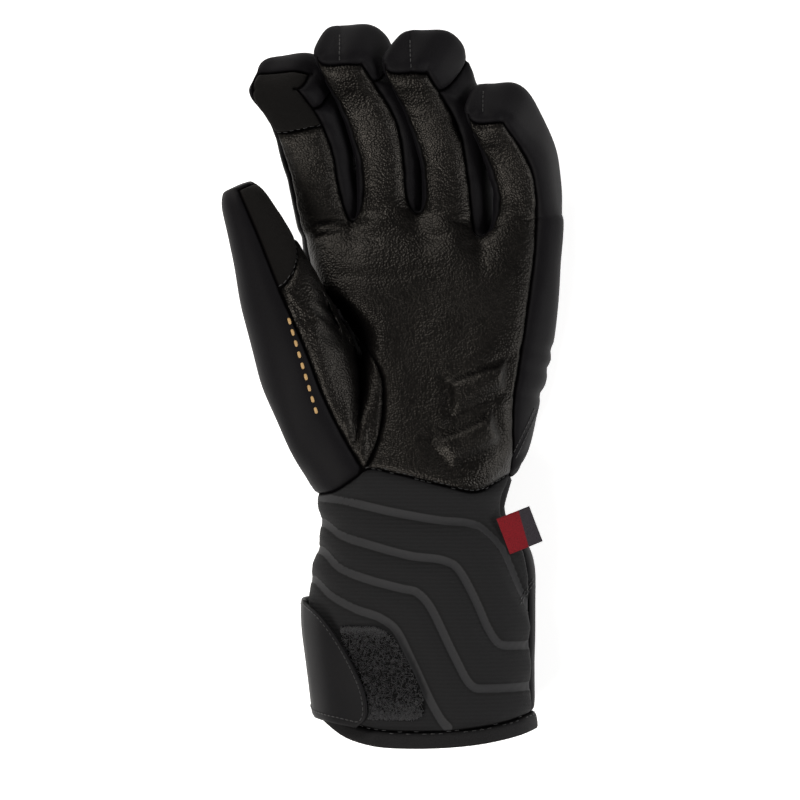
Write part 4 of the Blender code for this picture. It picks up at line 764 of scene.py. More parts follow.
    def refined(self, levels: int) -> "Skin":
        """The cage welded and smoothed by Catmull-Clark subdivision."""
        data = bpy.data.meshes.new("cage")
        points, quads = np.concatenate(self.points), np.concatenate(self.quads)
        data.from_pydata(points.tolist(), [], quads.tolist())
        data.polygons.foreach_set("material_index", np.concatenate(self.panels).astype(np.int32))
        for panel in Panel:
            data.materials.append(bpy.data.materials.new(f"panel_{panel.value}"))
        mesh = bmesh.new()
        mesh.from_mesh(data)
        bmesh.ops.remove_doubles(mesh, verts=mesh.verts[:], dist=2e-5)
        mesh.to_mesh(data)
        mesh.free()
        cage = bpy.data.objects.new("cage", data)
        bpy.context.scene.collection.objects.link(cage)
        smooth = cage.modifiers.new("smooth", "SUBSURF")
        smooth.levels = smooth.render_levels = levels
        fine = cage.evaluated_get(bpy.context.evaluated_depsgraph_get()).to_mesh()
        co = np.empty(len(fine.vertices) * 3, np.float32)
        fine.vertices.foreach_get("co", co)
        loops = np.empty(len(fine.loops), np.int32)
        fine.loops.foreach_get("vertex_index", loops)
        numbers = np.empty(len(fine.polygons), np.int32)
        fine.polygons.foreach_get("material_index", numbers)
        skin = Skin(self.form, co.reshape(-1, 3).astype(float), loops.reshape(-1, 4), numbers)
        used = list(data.materials)
        bpy.data.objects.remove(cage)
        bpy.data.meshes.remove(data)
        for item in used:
            bpy.data.materials.remove(item)
        return skin


class Skin:
    """The fine surface of the whole glove, whose points move along their normals."""

    def __init__(self, form: GloveForm, co: Array, quads: Array, panels: Array) -> None:
        """Keeps the arrays and finds the seams."""
        self.form, self.co, self.quads, self.panels = form, co, quads, panels
        self.plain = co.copy()
        self.normals = self.plain_normals(co)
        self.band = np.full(len(co), FAR)
        # painted shade: how far each point is painted dull black, in deep folds and along pad edges
        self.shade = np.zeros(len(co))
        self._find_seams()

    def plain_normals(self, co: Array) -> Array:
        """Vertex normals: the sum of the crosses of the diagonals of the quads round each."""
        p = co[self.quads]
        face = np.cross(p[:, 2] - p[:, 0], p[:, 3] - p[:, 1])
        total = np.zeros_like(co)
        for k in range(4):
            for axis in range(3):
                total[:, axis] += np.bincount(self.quads[:, k], face[:, axis], len(co))
        return unit(total)

    def _find_seams(self) -> None:
        """Edges between two panels, and each point's distance to the nearest one."""
        edge = np.concatenate([self.quads[:, [k, (k + 1) % 4]] for k in range(4)])
        owner = np.tile(np.arange(len(self.quads)), 4)
        edge = np.sort(edge, 1)
        order = np.lexsort((edge[:, 1], edge[:, 0]))
        edge, owner = edge[order], owner[order]
        same = (edge[1:] == edge[:-1]).all(1)
        first = np.nonzero(same)[0]
        a, b = self.panels[owner[first]], self.panels[owner[first + 1]]
        seam = a != b
        self.seam_edges = edge[first][seam]
        self.seam_pairs = np.sort(np.stack([a[seam], b[seam]], 1), 1)
        nearest, distance = self._spread(np.unique(edge, axis=0))
        self.seam_distance = self._square(nearest, distance)

    def _spread(self, edges: Array, steps: int = 16) -> tuple[Array, Array]:
        """Spreads the seams along the mesh's edges.

        Args:
            edges: pairs of points.
            steps: how many edges far.
        Returns:
            Each point's nearest seam point, or -1, and the distance to it.
        """
        nearest = np.full(len(self.co), -1)
        nearest[self.seam_edges.ravel()] = self.seam_edges.ravel()
        distance = np.where(nearest >= 0, 0.0, 1.0)
        i, j = np.concatenate([edges, edges[:, ::-1]]).T
        for _ in range(steps):
            known = nearest[j] >= 0
            ii, jj = i[known], j[known]
            reach = np.linalg.norm(self.co[ii] - self.co[nearest[jj]], axis=1)
            order = np.argsort(-reach)
            best = distance.copy()
            best[ii[order]] = reach[order]
            who = nearest.copy()
            who[ii[order]] = nearest[jj[order]]
            better = best < distance - 1e-9
            nearest[better], distance[better] = who[better], best[better]
        return nearest, distance

    def _square(self, nearest: Array, distance: Array, slack: float = 0.002) -> Array:
        """Distance square to the seam's direction at the nearest seam point.

        Args:
            nearest: each point's nearest seam point, or -1.
            distance: distance to it.
            slack: how far along the seam the point may lie from it.
        """
        tangent, first_way = np.zeros_like(self.co), np.zeros_like(self.co)
        step = self.co[self.seam_edges[:, 1]] - self.co[self.seam_edges[:, 0]]
        for k in range(2):
            first_way[self.seam_edges[:, k]] = step
        for k in range(2):
            at = self.seam_edges[:, k]
            sign = np.where((first_way[at] * step).sum(1) < 0, -1.0, 1.0)[:, None]
            np.add.at(tangent, at, step * sign)
        tangent = unit(tangent)
        near = np.maximum(nearest, 0)
        off = self.co - self.co[near]
        along = (off * tangent[near]).sum(1)
        square = np.sqrt(np.maximum((off**2).sum(1) - along**2, 0))
        square = np.where(np.abs(along) < slack, square, distance)
        return np.where(nearest >= 0, square, 1.0)

    def weight(self, *panels: Panel) -> Array:
        """Share of the faces round each point that belong to the panels."""
        mine = np.isin(self.panels, [panel.number for panel in panels]).astype(float)
        total, all_of = np.zeros(len(self.co)), np.zeros(len(self.co))
        for k in range(4):
            total += np.bincount(self.quads[:, k], mine, len(self.co))
            all_of += np.bincount(self.quads[:, k], minlength=len(self.co))
        return total / all_of

    def move(self, height: Array) -> None:
        """Moves the points along their normals; what rests on the table stays on it."""
        resting = self.co[:, 2] < 1e-6
        self.co = self.co + self.normals * np.asarray(height)[:, None]
        self.co[resting, 2] = 0.0
        self.co[:, 2] = np.maximum(self.co[:, 2], 0.0)
        self.normals = self.plain_normals(self.co)

    def seam_chains(self, first: Panel, second: Panel) -> list[Array]:
        """Seams between two panels, each as an ordered row of point indices."""
        pair = sorted((first.number, second.number))
        rows = self.seam_edges[(self.seam_pairs == pair).all(1)]
        links: dict[int, list[int]] = {}
        for a, b in rows.tolist():
            links.setdefault(a, []).append(b)
            links.setdefault(b, []).append(a)
        chains, left = [], set(links)
        while left:
            ends = [v for v in left if len(links[v]) == 1]
            here = min(ends) if ends else min(left)
            chain = [here]
            left.discard(here)
            while True:
                onward = [v for v in links[here] if v in left]
                if not onward:
                    break
                here = onward[0]
                chain.append(here)
                left.discard(here)
            chains.append(np.array(chain))
        return chains

    def tree(self) -> BVHTree:
        """Search tree of the surface as it is now."""
        return BVHTree.FromPolygons(self.co.tolist(), self.quads.tolist())


@dataclass
class HandDetails:
    """Seams, pads, creases, gathers and bands that are pressed or puffed into the surface."""

    form: GloveForm
    groove_depth: float = 0.0011
    groove_width: float = 0.0010
    puff: float = 0.0009
    band_half: float = 0.0020
    band_depth: float = 0.0012
    pad_height: float = 0.0030

    # seams down the caps of middle, ring and little finger: x and y of both ends
    caps: tuple = (
        ((-0.0226, 0.3000), (-0.0226, 0.2880)), ((0.0072, 0.2980), (0.0076, 0.2850)),
        ((0.0385, 0.2770), (0.0381, 0.2670)),
    )  # fmt: skip
    # fold between thumb and palm: x, y, depth and half width
    gap: tuple = (
        (-0.0275, 0.1880, 0.0050, 0.0034), (-0.0222, 0.1810, 0.0130, 0.0050),
        (-0.0165, 0.1735, 0.0140, 0.0056), (-0.0138, 0.1660, 0.0120, 0.0040),
        (-0.0137, 0.1560, 0.0080, 0.0026), (-0.0142, 0.1420, 0.0058, 0.0023),
        (-0.0158, 0.1280, 0.0026, 0.0020),
    )  # fmt: skip
    # corners of the raised pads: x in pitches, share along the palm
    pads: tuple = (
        ((0.84, 0.385), (1.73, 0.452), (1.71, 0.362), (0.93, 0.262)),
        ((0.60, 0.165), (1.50, 0.262), (1.63, 0.165), (0.92, 0.070)),
    )
    # creases of the palm: start and stop in pitches, share along, bow, depth, width
    creases: tuple = (
        (-1.45, -0.20, 0.955, 0.020, 0.0012, 0.012), (-1.40, -0.10, 0.905, 0.030, 0.0011, 0.012),
        (-0.60, 1.10, 0.935, -0.020, 0.0009, 0.014), (0.90, 2.10, 0.865, 0.022, 0.0009, 0.016),
        (-1.10, 0.60, 0.800, -0.030, 0.0006, 0.018),
    )  # fmt: skip
    # notches of the softshell's right edge: y and depth
    notches: tuple = ((0.1475, 0.0012), (0.1585, 0.0011), (0.1665, 0.0009))

    def seams(self, skin: Skin) -> None:
        """Grooves at the seams, and panels that swell a little between them.

        Depth is a narrow bell of the distance to the seam; the swell rises from the seam by an
        ease curve. The narrow strips between the fingers swell less.
        """
        d = skin.seam_distance
        strips = skin.weight(Panel.STRIP_INDEX, Panel.STRIP_MIDDLE, Panel.STRIP_RING)
        swell = self.puff * ease(d / 0.006) * (1 + 0.9 * strips)
        pucker = Noise(3).at(skin.co, 0.0045) * 0.00035 * bell(d, 0.004) * (1 + 0.8 * strips)
        wrist = skin.weight(Panel.CUFF_FRONT, Panel.CUFF_BACK)
        swell = swell * (1 - 0.5 * wrist)
        swell = swell + 0.00022 * bell(d - 0.0018, 0.0009) * skin.weight(Panel.PALM, Panel.INDEX_PATCH)
        skin.move(swell - self.groove_depth * bell(d, self.groove_width) + pucker)

    def heel_pads(self, skin: Skin) -> None:
        """Raised pads: a plateau inside each four-cornered outline, with a moat round it, and painted shadow
        along the top edge and in the moat.
        """
        form = self.form
        leather = skin.weight(Panel.PALM)
        x, y = skin.plain[:, 0], skin.plain[:, 1]
        front = ease((skin.plain[:, 2] - 0.6 * form.palm_depth) / 0.004)
        for corners in self.pads:
            loop = np.array([(px * form.pitch, form.palm_y(py)) for px, py in corners])
            side = unit(np.roll(loop, -1, axis=0) - loop)
            edges = [(x - a[0]) * b[1] - (y - a[1]) * b[0] for a, b in zip(loop, side)]
            inside = np.minimum.reduce(edges)
            centre = loop.mean(0)
            toward = np.clip(((x - centre[0]) * 0.8 + (y - centre[1]) * 0.6) / 0.014, -1, 1)
            plateau = ease((inside + 0.0008) / 0.0038) * (0.75 + 0.25 * toward)
            plateau = plateau + 0.30 * ease(inside / 0.0080)
            moat = bell(inside + 0.0018, 0.0018)
            skin.move(leather * front * (self.pad_height * plateau - 0.0007 * moat))
            # painted shadow: a dark band along each pad's top edge and round its moat, turned to dull black
            # by the materials
            beside = np.minimum.reduce(edges[1:])
            dark = 0.60 * bell(edges[0] - 0.0004, 0.0017) * ease((beside + 0.0005) / 0.004)
            dark = np.maximum(dark, 0.45 * bell(inside + 0.0012, 0.0010))
            skin.shade = np.maximum(skin.shade, dark * leather * front)

    def palm_creases(self, skin: Skin) -> None:
        """Soft wrinkles of the leather: bent lines under the fingers and fine noise folds."""
        form = self.form
        leather = skin.weight(Panel.PALM, Panel.THUMB_PALM)
        palm = skin.weight(Panel.PALM)
        x = skin.plain[:, 0] / form.pitch
        along = (skin.plain[:, 1] - form.cuff_length) / form.palm_length
        height = 0.0 * x
        for start, stop, low, bow, deep, wide in self.creases:
            share = (x - start) / (stop - start)
            inside = ease(share / 0.25) * ease((1 - share) / 0.25)
            line = low + bow * np.sin(np.pi * np.clip(share, 0, 1))
            height = height - deep * bell(along - line, wide) * inside
        ripple = Noise(11).at(skin.co, (0.013, 0.0042, 0.013))
        near = bell(along - 0.97, 0.10) + 0.6 * bell(along - 1.28, 0.07) + 0.5 * bell(along - 1.45, 0.06)
        height = height * palm + 0.00060 * ripple * near * palm
        height = height + 0.0008 * Noise(5).at(skin.co, 0.017) * leather
        height = height + 0.00022 * Noise(6).at(skin.co, (0.0060, 0.0032, 0.006)) * leather
        skin.move(height)

    def thumb_gap(self, skin: Skin) -> None:
        """Deep fold between the thumb and the palm: a bell of the distance to its line, with painted shadow
        in its deep part.
        """
        leather = skin.weight(Panel.THUMB_PALM, Panel.PALM)
        p = skin.plain
        places = np.linspace(0, 1, 60)
        stations = np.linspace(0, 1, len(self.gap))
        x, y, deep, wide = (smooth_line(stations, [row[i] for row in self.gap], places) for i in range(4))
        distance = np.hypot(p[:, 0, None] - x, p[:, 1, None] - y)
        near = distance.argmin(1)
        upward = ease((skin.normals[:, 2] - 0.1) / 0.4) * ease((p[:, 2] - 0.020) / 0.008)
        closeness = leather * upward * bell(distance.min(1), wide[near])
        skin.co[:, 2] -= closeness * deep[near]
        # painted shadow: the deep part of the fold is painted dull black
        skin.shade = np.maximum(skin.shade, closeness * ease(deep[near] / 0.007))
        skin.normals = skin.plain_normals(skin.co)

    def thumb_folds(self, skin: Skin) -> None:
        """Folds that cross the thumb's leather where it bends, and long ones beside the palm."""
        leather = skin.weight(Panel.THUMB_PALM)
        p = skin.plain
        slant = p[:, 1] + 0.9 * p[:, 0]
        ripple = Noise(21).at(np.stack([p[:, 0] - 0.8 * p[:, 1], slant, p[:, 2]], -1), (0.011, 0.0040, 0.012))
        bend = bell(p[:, 1] - 0.178, 0.013)
        long_fold = Noise(23).at(p, (0.0045, 0.030, 0.02))
        low = bell(p[:, 1] - 0.128, 0.020)
        skin.move(leather * (0.0013 * ripple * bend + 0.0014 * long_fold * low))

    def shell_folds(self, skin: Skin) -> None:
        """Gathers of the softshell at the wrist's right side, notches along the right edge."""
        shell = skin.weight(Panel.BACK, Panel.CUFF_BACK, Panel.THUMB_BACK)
        p = skin.plain
        left, right, back, front = self.form.section(p[:, 1])
        upward = (p[:, 2] - (front + back) / 2) / (front - back)
        angle = np.arctan2(upward, (p[:, 0] - (left + right) / 2) / (right - left))
        facing = ease((np.cos(angle) + 0.1) / 0.6)
        fold = np.cos(angle * 18 + (p[:, 1] - 0.108) * 130 + 6 * Noise(31).at(p, 0.03))
        gather = skin.weight(Panel.BACK, Panel.CUFF_BACK) * bell(p[:, 1] - 0.107, 0.012)
        height = (0.0017 * fold - 0.0008) * gather * facing
        for y, deep in self.notches:
            height = height - deep * bell(p[:, 1] - y, 0.0024) * ease((np.cos(angle) - 0.55) / 0.4)
        soft = 0.0006 * Noise(33).at(p, 0.024) * shell
        skin.move(height + soft)

    def bands(self, skin: Skin) -> None:
        """Bands pressed flat into the puffed cuff, marked in the points' band value.

        The distance to each band's centre line is measured in space; inside half a band's width
        the surface sinks by an ease curve, and it puffs up with the distance beyond.
        """
        form = self.form
        front = skin.weight(Panel.CUFF_FRONT)
        chosen = np.nonzero(front > 0)[0]
        p = skin.plain[chosen]
        distance = np.full(len(p), 1.0)
        for line in form.bands:
            stops = np.array([row[0] for row in line])
            t = np.linspace(stops[0], stops[-1], 90)
            y = form.cuff_length * (1 - smooth_line(stops, [row[1] for row in line], t))
            path = form.cuff_front_point(t, y)
            a, b = path[:-1], path[1:]
            ab = b - a
            s = ((p[:, None] - a) * ab).sum(-1) / (ab**2).sum(-1)
            gap = p[:, None] - a - np.clip(s, 0, 1)[..., None] * ab
            distance = np.minimum(distance, np.linalg.norm(gap, axis=-1).min(1))
        sunk = ease((self.band_half + 0.0005 - distance) / 0.0010)
        crown = ease((distance - self.band_half) / 0.006)
        skin.band[chosen] = np.minimum(distance, FAR)
        height = np.zeros(len(skin.co))
        facing = 0.3 + 0.7 * ease((skin.normals[chosen, 2] + 0.1) / 0.6)
        height[chosen] = (0.0013 * crown - self.band_depth * sunk) * facing
        edge = ease(skin.seam_distance / 0.004)
        skin.move(height * front * edge)

    def cap_seams(self, skin: Skin) -> None:
        """Short grooves down the finger caps, a bell of the distance to each line in plan."""
        p, shell = skin.plain, skin.weight(Panel.BACK) * ease((skin.plain[:, 2] - 0.03) / 0.01)
        for start, stop in self.caps:
            a, b = np.array(start), np.array(stop)
            share = np.clip(((p[:, :2] - a) @ (b - a)) / ((b - a) @ (b - a)), -0.2, 1.05)
            distance = np.linalg.norm(p[:, :2] - a - share[:, None] * (b - a), axis=1)
            skin.move(-shell * 0.0005 * bell(distance, 0.0010))

    def hem(self, skin: Skin) -> None:
        """A full rolled hem with a narrow crease above it."""
        skin.move(skin.weight(Panel.HEM) * 0.0009 * ease(skin.seam_distance / 0.002))


class Socket:
    """An output of a shader node; sums and products of sockets add Math nodes."""

    def __init__(self, sheet: "Shader", out: bpy.types.NodeSocket) -> None:
        """Keeps the node tree and the output."""
        self.sheet, self.out = sheet, out

    def _math(self, operation: str, *values: Any) -> "Socket":
        """A Math node of the values."""
        return self.sheet.node("ShaderNodeMath", {"operation": operation}, dict(enumerate(values)))

    def __add__(self, other: Any) -> "Socket":
        """Sum."""
        return self._math("ADD", self, other)

    def __sub__(self, other: Any) -> "Socket":
        """Difference."""
        return self._math("SUBTRACT", self, other)

    def __rsub__(self, other: Any) -> "Socket":
        """Difference, reflected."""
        return self._math("SUBTRACT", other, self)

    def __mul__(self, other: Any) -> "Socket":
        """Product."""
        return self._math("MULTIPLY", self, other)

    def __truediv__(self, other: Any) -> "Socket":
        """Quotient."""
        return self._math("DIVIDE", self, other)

    def __pow__(self, other: Any) -> "Socket":
        """Power."""
        return self._math("POWER", self, other)

    __radd__, __rmul__ = __add__, __mul__


class Shader:
    """One material's node tree."""

    def __init__(self, name: str) -> None:
        """Makes an empty material with its Principled shader and output."""
        self.material = bpy.data.materials.new(name)
        self.material.use_nodes = True
        self.tree = self.material.node_tree
        self.surface = next(n for n in self.tree.nodes if n.type == "BSDF_PRINCIPLED")
        place = self.tree.nodes.new("ShaderNodeTexCoord")
        self.place = Socket(self, place.outputs["Object"])

    def put(self, target: bpy.types.NodeSocket, value: Any) -> None:
        """Links a socket or sets a plain value; colours get their fourth number."""
        if isinstance(value, Socket):
            self.tree.links.new(value.out, target)
        else:
            short = target.type == "RGBA" and len(value) == 3
            target.default_value = (*value, 1.0) if short else value

    def node(self, kind: str, settings: dict[str, Any], inputs: dict[Any, Any], output: Any = 0) -> Socket:
        """Adds a node.

        Args:
            kind: the node's type name.
            settings: properties set first; "stops" are a colour ramp's places and greys.
            inputs: values or sockets by input name or number.
            output: which output to return.
        Returns:
            That output.
        """
        made = self.tree.nodes.new(kind)
        for key, value in settings.items():
            if key == "stops":
                ramp = made.color_ramp.elements
                while len(ramp) < len(value):
                    ramp.new(0.5)
                for item, (place, grey) in zip(ramp, value):
                    item.position, item.color = place, (grey, grey, grey, 1)
            else:
                setattr(made, key, value)
        for key, value in inputs.items():
            self.put(made.inputs[key], value)
        return Socket(self, made.outputs[output])

    def noise(self, size: float, detail: float) -> Socket:
        """Noise whose blobs are about `size` metres."""
        return self.node("ShaderNodeTexNoise", {}, {"Vector": self.place, "Scale": 1 / size,
                                                    "Detail": detail, "Roughness": 0.55})  # fmt: skip

    def cells(self, size: float, place: Socket | None = None) -> Socket:
        """Distance to the centres of Voronoi cells about `size` metres across."""
        return self.node("ShaderNodeTexVoronoi", {"feature": "F1"},
                         {"Vector": place or self.place, "Scale": 1 / size}, "Distance")  # fmt: skip

    def ramp(self, value: Socket, *stops: tuple[float, float]) -> Socket:
        """Grey ramp of a value."""
        return self.node("ShaderNodeValToRGB", {"stops": stops}, {0: value})

    def mix(self, share: Any, first: Any, second: Any) -> Socket:
        """Colour mix."""
        made = self.tree.nodes.new("ShaderNodeMix")
        made.data_type = "RGBA"
        self.put(made.inputs[0], share)
        self.put(made.inputs[6], first)
        self.put(made.inputs[7], second)
        return Socket(self, made.outputs[2])

    def attribute(self, name: str) -> Socket:
        """A value kept on the mesh's points."""
        return self.node("ShaderNodeAttribute", {"attribute_name": name}, {}, "Fac")

    def step(self, value: Socket, start: float, stop: float) -> Socket:
        """Line that rises from 0 at start to 1 at stop, held flat beyond both."""
        return self.node("ShaderNodeMapRange", {}, {"Value": value, "From Min": start, "From Max": stop})

    def with_seams_and_painted_shade(self, colour: Socket) -> Socket:
        """Returns the colour; the groove of the nearest seam turns to dull black, and deep folds and pad
        edges get painted shadow in the same dull black.
        """
        # dull black over the cloth: dark seam grooves, and painted shadow in deep folds and at pad edges
        near = self.node("ShaderNodeMath", {"operation": "MAXIMUM"},
                         {0: self.step(self.attribute("seam"), 0.0010, 0.0003) * 0.85,
                          1: self.step(self.attribute("shade"), 0.15, 0.75)})  # fmt: skip
        dull = self.node("ShaderNodeBsdfDiffuse", {}, {"Color": (0.0010, 0.0009, 0.0010, 1.0)})
        cloth = Socket(self, self.surface.outputs[0])
        both = self.node("ShaderNodeMixShader", {}, {0: near, 1: cloth, 2: dull})
        out = next(n for n in self.tree.nodes if n.type == "OUTPUT_MATERIAL")
        self.tree.links.new(both.out, out.inputs["Surface"])
        return colour

    def bump(self, height: Socket, depth: float, strength: float = 1.0) -> Socket:
        """Bump node of a height in units of `depth` metres."""
        return self.node("ShaderNodeBump", {}, {"Height": height, "Distance": depth, "Strength": strength},
                         "Normal")  # fmt: skip

    def finish(self, **inputs: Any) -> bpy.types.Material:
        """Sets the Principled shader's inputs by name, with underscores for spaces."""
        for key, value in inputs.items():
            self.put(self.surface.inputs[key.replace("_", " ")], value)
        return self.material


def dimmed(colour: tuple, factor: float) -> tuple:
    """The colour times a factor."""
    return tuple(factor * c for c in colour)


@dataclass(frozen=True)
class LeatherFinish:
    """Goat leather: pebbled grain, dark with warm gloss."""

    name: str = "leather"
    colour: tuple = (0.0027, 0.0024, 0.0023)
    pit: tuple = (0.0009, 0.0008, 0.0008)
    grain: float = 0.00100

    def build(self) -> bpy.types.Material:
        """Cells for the pebbles, finer noise on them, gloss that varies in large patches."""
        s = Shader(self.name)
        cloud = s.node("ShaderNodeTexNoise", {}, {"Vector": s.place, "Scale": 400.0}, "Color")
        wobble = s.node("ShaderNodeVectorMath", {"operation": "SCALE"}, {0: cloud, "Scale": 0.0003})
        place = s.node("ShaderNodeVectorMath", {"operation": "ADD"}, {0: s.place, 1: wobble})
        pebble = s.ramp(s.cells(self.grain, place), (0.0, 1.0), (0.32, 0.88), (0.55, 0.35), (0.75, 0.0))
        worn = s.ramp(s.noise(0.022, 2.0), (0.35, 0.0), (0.68, 1.0))
        fine = s.noise(0.0006, 4.0)
        colour = s.mix(pebble, self.pit, self.colour)
        rough = 0.45 - 0.08 * worn + 0.04 * fine - 0.08 * pebble
        height = pebble * 0.9 + fine * 0.1
        return s.finish(Base_Color=s.with_seams_and_painted_shade(colour), Roughness=rough, Normal=s.bump(height, 0.00017, 1.0),
                        Specular_Tint=(1.0, 0.93, 0.84), Specular_IOR_Level=0.19)  # fmt: skip


@dataclass(frozen=True)
class ClothFinish:
    """Matt cloth: a fine weave, a little nap and uneven dye."""

    name: str
    colour: tuple
    weave: float = 0.0006
    depth: float = 0.00008
    rough: float = 0.85
    sheen: float = 0.0
    sheen_tint: tuple = (1.0, 1.0, 1.0)
    fuzz: float = 0.2
    gloss: float = 0.12
    # sewn cloth gets dark seams and the painted shadow of deep folds and pad edges
    sewn: bool = True

    def build(self) -> bpy.types.Material:
        """Small cells for the weave and noise for nap, darker between the threads."""
        s = Shader(self.name)
        thread = s.cells(self.weave)
        nap = s.noise(self.weave * 3, 4.0)
        patch = s.noise(0.03, 2.0)
        share = s.ramp(thread * (1 - self.fuzz) + nap * self.fuzz, (0.15, 1.0), (0.75, 0.0))
        colour = s.mix(share * 0.6 + patch * 0.4, dimmed(self.colour, 0.55), dimmed(self.colour, 1.25))
        height = share * 0.7 + nap * 0.3
        return s.finish(Base_Color=s.with_seams_and_painted_shade(colour) if self.sewn else colour,
                        Roughness=self.rough - 0.06 * patch,
                        Normal=s.bump(height, self.depth, 0.8), Sheen_Weight=self.sheen,
                        Sheen_Tint=self.sheen_tint, Specular_IOR_Level=self.gloss)  # fmt: skip


@dataclass(frozen=True)
class KnitFinish:
    """Cuff knit with fine cross ribs; the bands pressed into it are smooth and greyer."""

    name: str = "knit"
    colour: tuple = (0.0056, 0.0056, 0.0062)
    band: tuple = (0.0175, 0.0175, 0.0188)
    rib: float = 0.00085

    def build(self) -> bpy.types.Material:
        """Ribs are waves along Y and cells across; the band value fades them out, and darkens a rim just
        beside each band as painted shadow.
        """
        s = Shader(self.name)
        press = s.step(s.attribute("band"), 0.0022, 0.0018)
        # painted shadow: the knit just outside each pressed band is darkened toward black
        shade = s.step(s.attribute("band"), 0.0033, 0.0022) * (1 - press)
        wave = s.node("ShaderNodeTexWave", {"wave_type": "BANDS", "bands_direction": "Y"},
                      {"Vector": s.place, "Scale": 0.5 / self.rib / 3.14159, "Distortion": 1.2,
                       "Detail": 2.0, "Detail Scale": 3.0}, "Fac")  # fmt: skip
        thread = s.cells(0.0007)
        loop = wave * 0.6 + (1 - thread) * 0.4
        speck = s.noise(0.0011, 3.0)
        knit = s.mix(loop * 0.6 + speck * 0.4, dimmed(self.colour, 0.55), dimmed(self.colour, 1.3))
        smooth = s.mix(speck, dimmed(self.band, 0.85), dimmed(self.band, 1.15))
        colour = s.mix(press, knit, smooth)
        colour = s.mix(shade * 0.65, colour, (0.0015, 0.0015, 0.0016))
        height = loop * (1 - press) + speck * 0.2
        return s.finish(Base_Color=s.with_seams_and_painted_shade(colour), Roughness=0.88 - 0.14 * press, Specular_IOR_Level=0.25,
                        Normal=s.bump(height, 0.00022, 0.75))  # fmt: skip


@dataclass(frozen=True)
class LabelFinish:
    """Woven tag: a plain red field toward the seam and dark grey beyond."""

    name: str = "label"
    red: tuple = (0.190, 0.004, 0.009)
    grey: tuple = (0.030, 0.026, 0.032)

    def build(self) -> bpy.types.Material:
        """The field value on the mesh chooses between the two woven colours."""
        s = Shader(self.name)
        weave = s.cells(0.00035)
        share = s.step(s.attribute("field"), -0.01, 0.01)
        colour = s.mix(share, self.grey, self.red)
        colour = s.mix(weave * 0.6, colour, (0.004, 0.002, 0.003))
        return s.finish(Base_Color=colour, Roughness=0.7, Specular_IOR_Level=0.15,
                        Normal=s.bump(weave, 0.00010, 0.9))  # fmt: skip


@dataclass(frozen=True)
class ThreadFinish:
    """Twisted sewing thread."""

    name: str
    colour: tuple
    rough: float = 0.55

    def build(self) -> bpy.types.Material:
        """A fine noise stands for the twist."""
        s = Shader(self.name)
        twist = s.noise(0.0003, 2.0)
        colour = s.mix(twist, dimmed(self.colour, 0.6), dimmed(self.colour, 1.4))
        return s.finish(Base_Color=colour, Roughness=self.rough, Normal=s.bump(twist, 0.00005, 0.6))


class Finishes:
    """All materials, built once."""

    def __init__(self) -> None:
        """Builds each finish."""
        self.leather = LeatherFinish().build()
        self.shell = ClothFinish("softshell", (0.0026, 0.0022, 0.0031), 0.00045, 0.00006, 0.66, 0.006,
                                 (0.75, 0.72, 0.85), gloss=0.10).build()  # fmt: skip
        self.suede = ClothFinish("suede", (0.0036, 0.0032, 0.0030), 0.0008, 0.00040, 0.95, 0.02,
                                 (0.9, 0.8, 0.7), 0.8).build()  # fmt: skip
        self.knit = KnitFinish().build()
        self.hem = ClothFinish("hem", (0.0095, 0.0092, 0.0098), 0.0006, 0.00010, 0.8).build()
        self.strap = ClothFinish("strap", (0.0024, 0.0022, 0.0029), 0.00040, 0.00005, 0.62, gloss=0.14,
                                 sewn=False).build()  # fmt: skip
        self.loop = ClothFinish("loop_base", (0.0018, 0.0018, 0.0019), 0.0008, 0.00030, 0.95, fuzz=0.7,
                                sewn=False).build()  # fmt: skip
        self.lining = ClothFinish("lining", (0.0060, 0.0060, 0.0066), 0.0012, 0.00025, 0.95, 0.03,
                                  fuzz=0.8, sewn=False).build()  # fmt: skip
        self.label = LabelFinish().build()
        self.thread = ThreadFinish("thread", (0.0075, 0.0075, 0.0080)).build()
        self.pile = ThreadFinish("pile", (0.022, 0.022, 0.024), 0.45).build()
        self.gold = ThreadFinish("gold_print", (0.40, 0.25, 0.10), 0.5).build()


def keep_value(piece: bpy.types.Object, name: str, values: Array) -> None:
    """Keeps one number a point on the mesh, for the materials."""
    kept = piece.data.attributes.new(name, "FLOAT", "POINT")
    kept.data.foreach_set("value", np.asarray(values, np.float32).reshape(-1))


def new_piece(name: str, points: Array, faces: Any, slot: str,
              *materials: bpy.types.Material) -> bpy.types.Object:
    """Makes a smooth-shaded piece that rides on the glove.

    Args:
        name: the piece's name.
        points: its points in the frame's coordinates.
        faces: lists or an array of point indices.
        slot: the record's material slot; not used.
        materials: its materials, in order.
    Returns:
        The object, at the origin.
    """
    data = bpy.data.meshes.new(name)
    rows = faces.tolist() if isinstance(faces, np.ndarray) else faces
    data.from_pydata(np.asarray(points).tolist(), [], rows)
    for item in materials:
        data.materials.append(item)
    data.shade_smooth()
    piece = bpy.data.objects.new(name, data)
    bpy.context.scene.collection.objects.link(piece)
    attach(piece, "root")
    return piece


